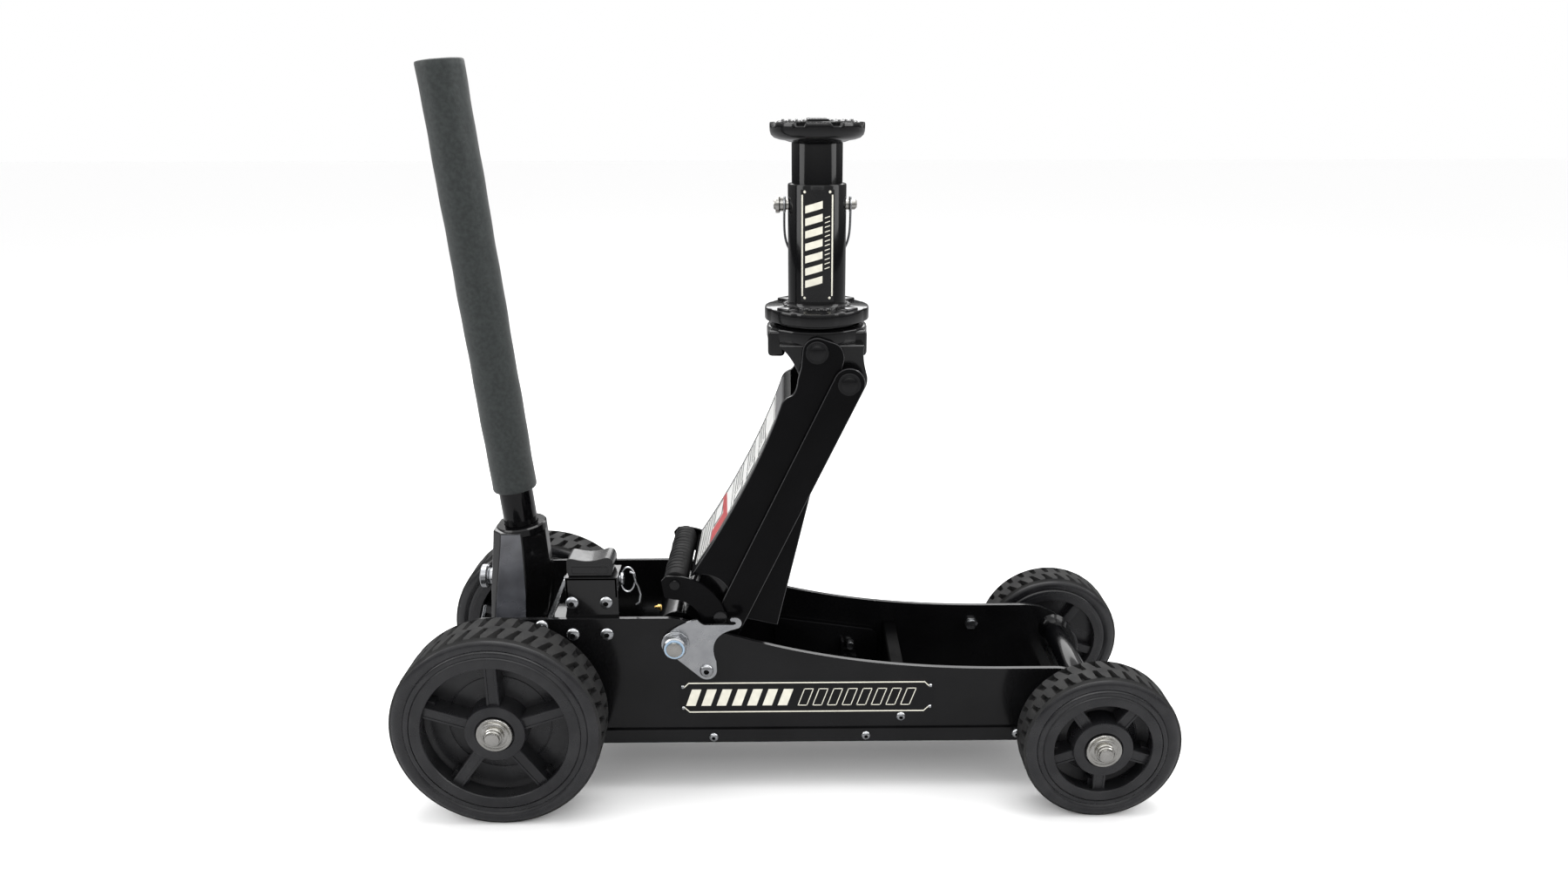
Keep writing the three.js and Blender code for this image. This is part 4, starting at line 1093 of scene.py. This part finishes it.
pivot = Piece()
pivot.rod(9, -83.6, 83.6, STEEL, HANDLE_PIVOT, n=40)
for side in (-1, 1):
    pivot.turned([(0, side * 87.6), (9.4, side * 87.6), (12.4, side * 85.8), (13, side * 84.2),
                  (13, side * 82.8), (0, side * 82.8)], ZINC, HANDLE_PIVOT, n=40)
pivot.done("handle_pivot_bolt", "frame", "steel", ["handle_pivot_shaft"])


# ---- rest for the handle ----

rest = Piece()
front = [(74, 192.4), (125, 192.4)] + curve2((125, 192.4), (128.5, 192.4), (128.5, 196), 4)
front += [(128.5, 261)] + [(128.5, 264.8), (70.4, 264.8), (70.4, 226), (66, 204)]
bend(front, (66, 192.4), (74, 192.4), n=4)
rest.prism(front, -77.1, -73.2, CAST, 1)
rest.block(70.2, 128.4, -77.1, -42.2, 261, 264.9, CAST, 1)
rest.block(70.2, 74, -77.1, -42.2, 240, 264, CAST, 1)
rest.block(124.6, 128.4, -77.1, -42.2, 240, 264, CAST, 1)
rest.block(70.2, 128.4, -46, -42.2, 252, 264.8, CAST, 1)
rest.prism([(43, 204), (48, 204), (72.6, 262), (68.6, 262)], -77, -62, ZINC, 0.6)
button_screw(rest, 77, 235, -77.2, -1, 7.4)
button_screw(rest, 115, 235, -77.2, -1, 7.4)
rest.done("handle_rest_bracket", "frame", "gloss_black", ["rest_bracket"], True)

cradle = Piece()
outline = [(74, 265.3), (121, 265.3)] + curve2((121, 265.3), (124.5, 270), (124, 280), 6)
bend(outline, (123, 288.4), (115, 287), n=6)
bend(outline, (98, 280.6), (82, 285.4), n=10)
outline += curve2((82, 285.4), (73.5, 287.6), (73, 283), 5) + [(72.4, 272)]
cradle.prism(outline, -73.6, -44.4, MOULDED, 2, 3)
cradle.block(78, 118, -74.4, -72, 268, 277, MOULDED, 1.2)
cradle.done("moulded_handle_cradle", "frame", "cradle_rubber", ["rest_cradle"], True)

storage = Piece()
storage.rod(4, 66, 132, ZINC, (-58, 255), "X", 28)
storage.turned([(4, 129.6), (7, 129.6), (7.4, 131), (7, 132.6), (0, 133)], ZINC, (-58, 255), "X", 32)
loop = []
for k in range(36):
    t = 2 * pi * k / 36
    loop.append((137 + 9 * cos(t) * 0.9, -58 + 4 * sin(t), 254 + 13 * sin(t)))
storage.wire(loop, 1.1, ZINC, closed=True)
tail = [(140, -60, 264), (144, -60, 262), (146, -61, 252), (149, -62, 247), (151.2, -63, 238),
        (150, -64, 229), (146, -64, 226)]
storage.wire(tail, 1.3, ZINC)
storage.done("rest_storage_pin", "storage_pin", "zinc", ["rest_pin"])

spring_hook = Piece()
hook = [(-31, -40, 214), (-33, -41, 205), (-36, -42, 196), (-41, -43, 188), (-44, -44, 180), (-42, -45, 172)]
spring_hook.wire(hook, 1.6, ZINC)
spring_hook.done("return_spring_wire", "frame", "zinc")


# ---- floor, light and world ----

def by_ray(tree, plain, target):
    """A plain colour for every ray but mirror rays, into a socket; returns the mirror colour's socket."""
    mix = tree.nodes.new("ShaderNodeMix")
    mix.data_type = "RGBA"
    mix.inputs["A"].default_value = plain
    paths = tree.nodes.new("ShaderNodeLightPath")
    tree.links.new(paths.outputs["Is Glossy Ray"], mix.inputs["Factor"])
    tree.links.new(mix.outputs["Result"], target)
    return mix.inputs["B"]


floor_mesh = bpy.data.meshes.new("floor")
size = 14
floor_mesh.from_pydata([(-size, -size, 0), (size, -size, 0), (size, size, 0), (-size, size, 0)], [],
                       [(0, 1, 2, 3)])
FLOOR = Mat("pale_floor", (0.93, 0.93, 0.93), 0.75, 0, 0.1)
mirrored = by_ray(FLOOR.mat.node_tree, (0.99, 0.99, 0.99, 1), FLOOR.shader.inputs["Base Color"])
mirrored.default_value = (0.3, 0.3, 0.305, 1)
floor_mesh.materials.append(FLOOR.mat)
floor = add("floor", floor_mesh)


def area(name, place, aim, width, height, power):
    data = bpy.data.lights.new(name, "AREA")
    data.shape = "RECTANGLE"
    data.size, data.size_y, data.energy = width, height, power
    lamp = add(name, data)
    lamp.location = place
    lamp.rotation_euler = (Vector(aim) - Vector(place)).to_track_quat("-Z", "Y").to_euler()


area("top_softbox", (0.1, 0.3, 2.6), (0, 0, 0.2), 2.4, 1.6, 44)
area("left_softbox", (-2.2, -0.6, 1.6), (0, 0, 0.3), 1.2, 1.8, 18)
area("right_softbox", (2.3, -0.4, 1.7), (0, 0, 0.3), 1.2, 1.8, 18)
area("front_softbox", (0, -2.4, 2.2), (0, 0, 0.2), 2.6, 0.8, 8)
area("back_strip", (0, 2.3, 1.6), (0, 0, 0.4), 3, 0.7, 20)

world = bpy.data.worlds.new("studio")
bpy.context.scene.world = world
world.use_nodes = True
tree = world.node_tree
back = tree.nodes["Background"]
fill(back, {"Strength": 1})
coords = tree.nodes.new("ShaderNodeTexCoord")
split = tree.nodes.new("ShaderNodeSeparateXYZ")
ramp = tree.nodes.new("ShaderNodeValToRGB")
ramp.color_ramp.elements[0].position = 0.5
ramp.color_ramp.elements[0].color = (0.06, 0.06, 0.062, 1)
ramp.color_ramp.elements[1].position = 0.86
ramp.color_ramp.elements[1].color = (1.1, 1.1, 1.1, 1)
half_up = tree.nodes.new("ShaderNodeMath")
half_up.operation = "MULTIPLY_ADD"
fill(half_up, {1: 0.5, 2: 0.5})
tree.links.new(coords.outputs["Generated"], split.inputs[0])
tree.links.new(split.outputs["Z"], half_up.inputs[0])
tree.links.new(half_up.outputs[0], ramp.inputs["Fac"])
tree.links.new(ramp.outputs["Color"], by_ray(tree, (1, 1, 1, 1), back.inputs["Color"]))

bpy.context.scene.view_settings.view_transform = "Standard"

bpy.context.view_layer.update()


def plain(box):
    return [list(map(float, corner)) for corner in box]
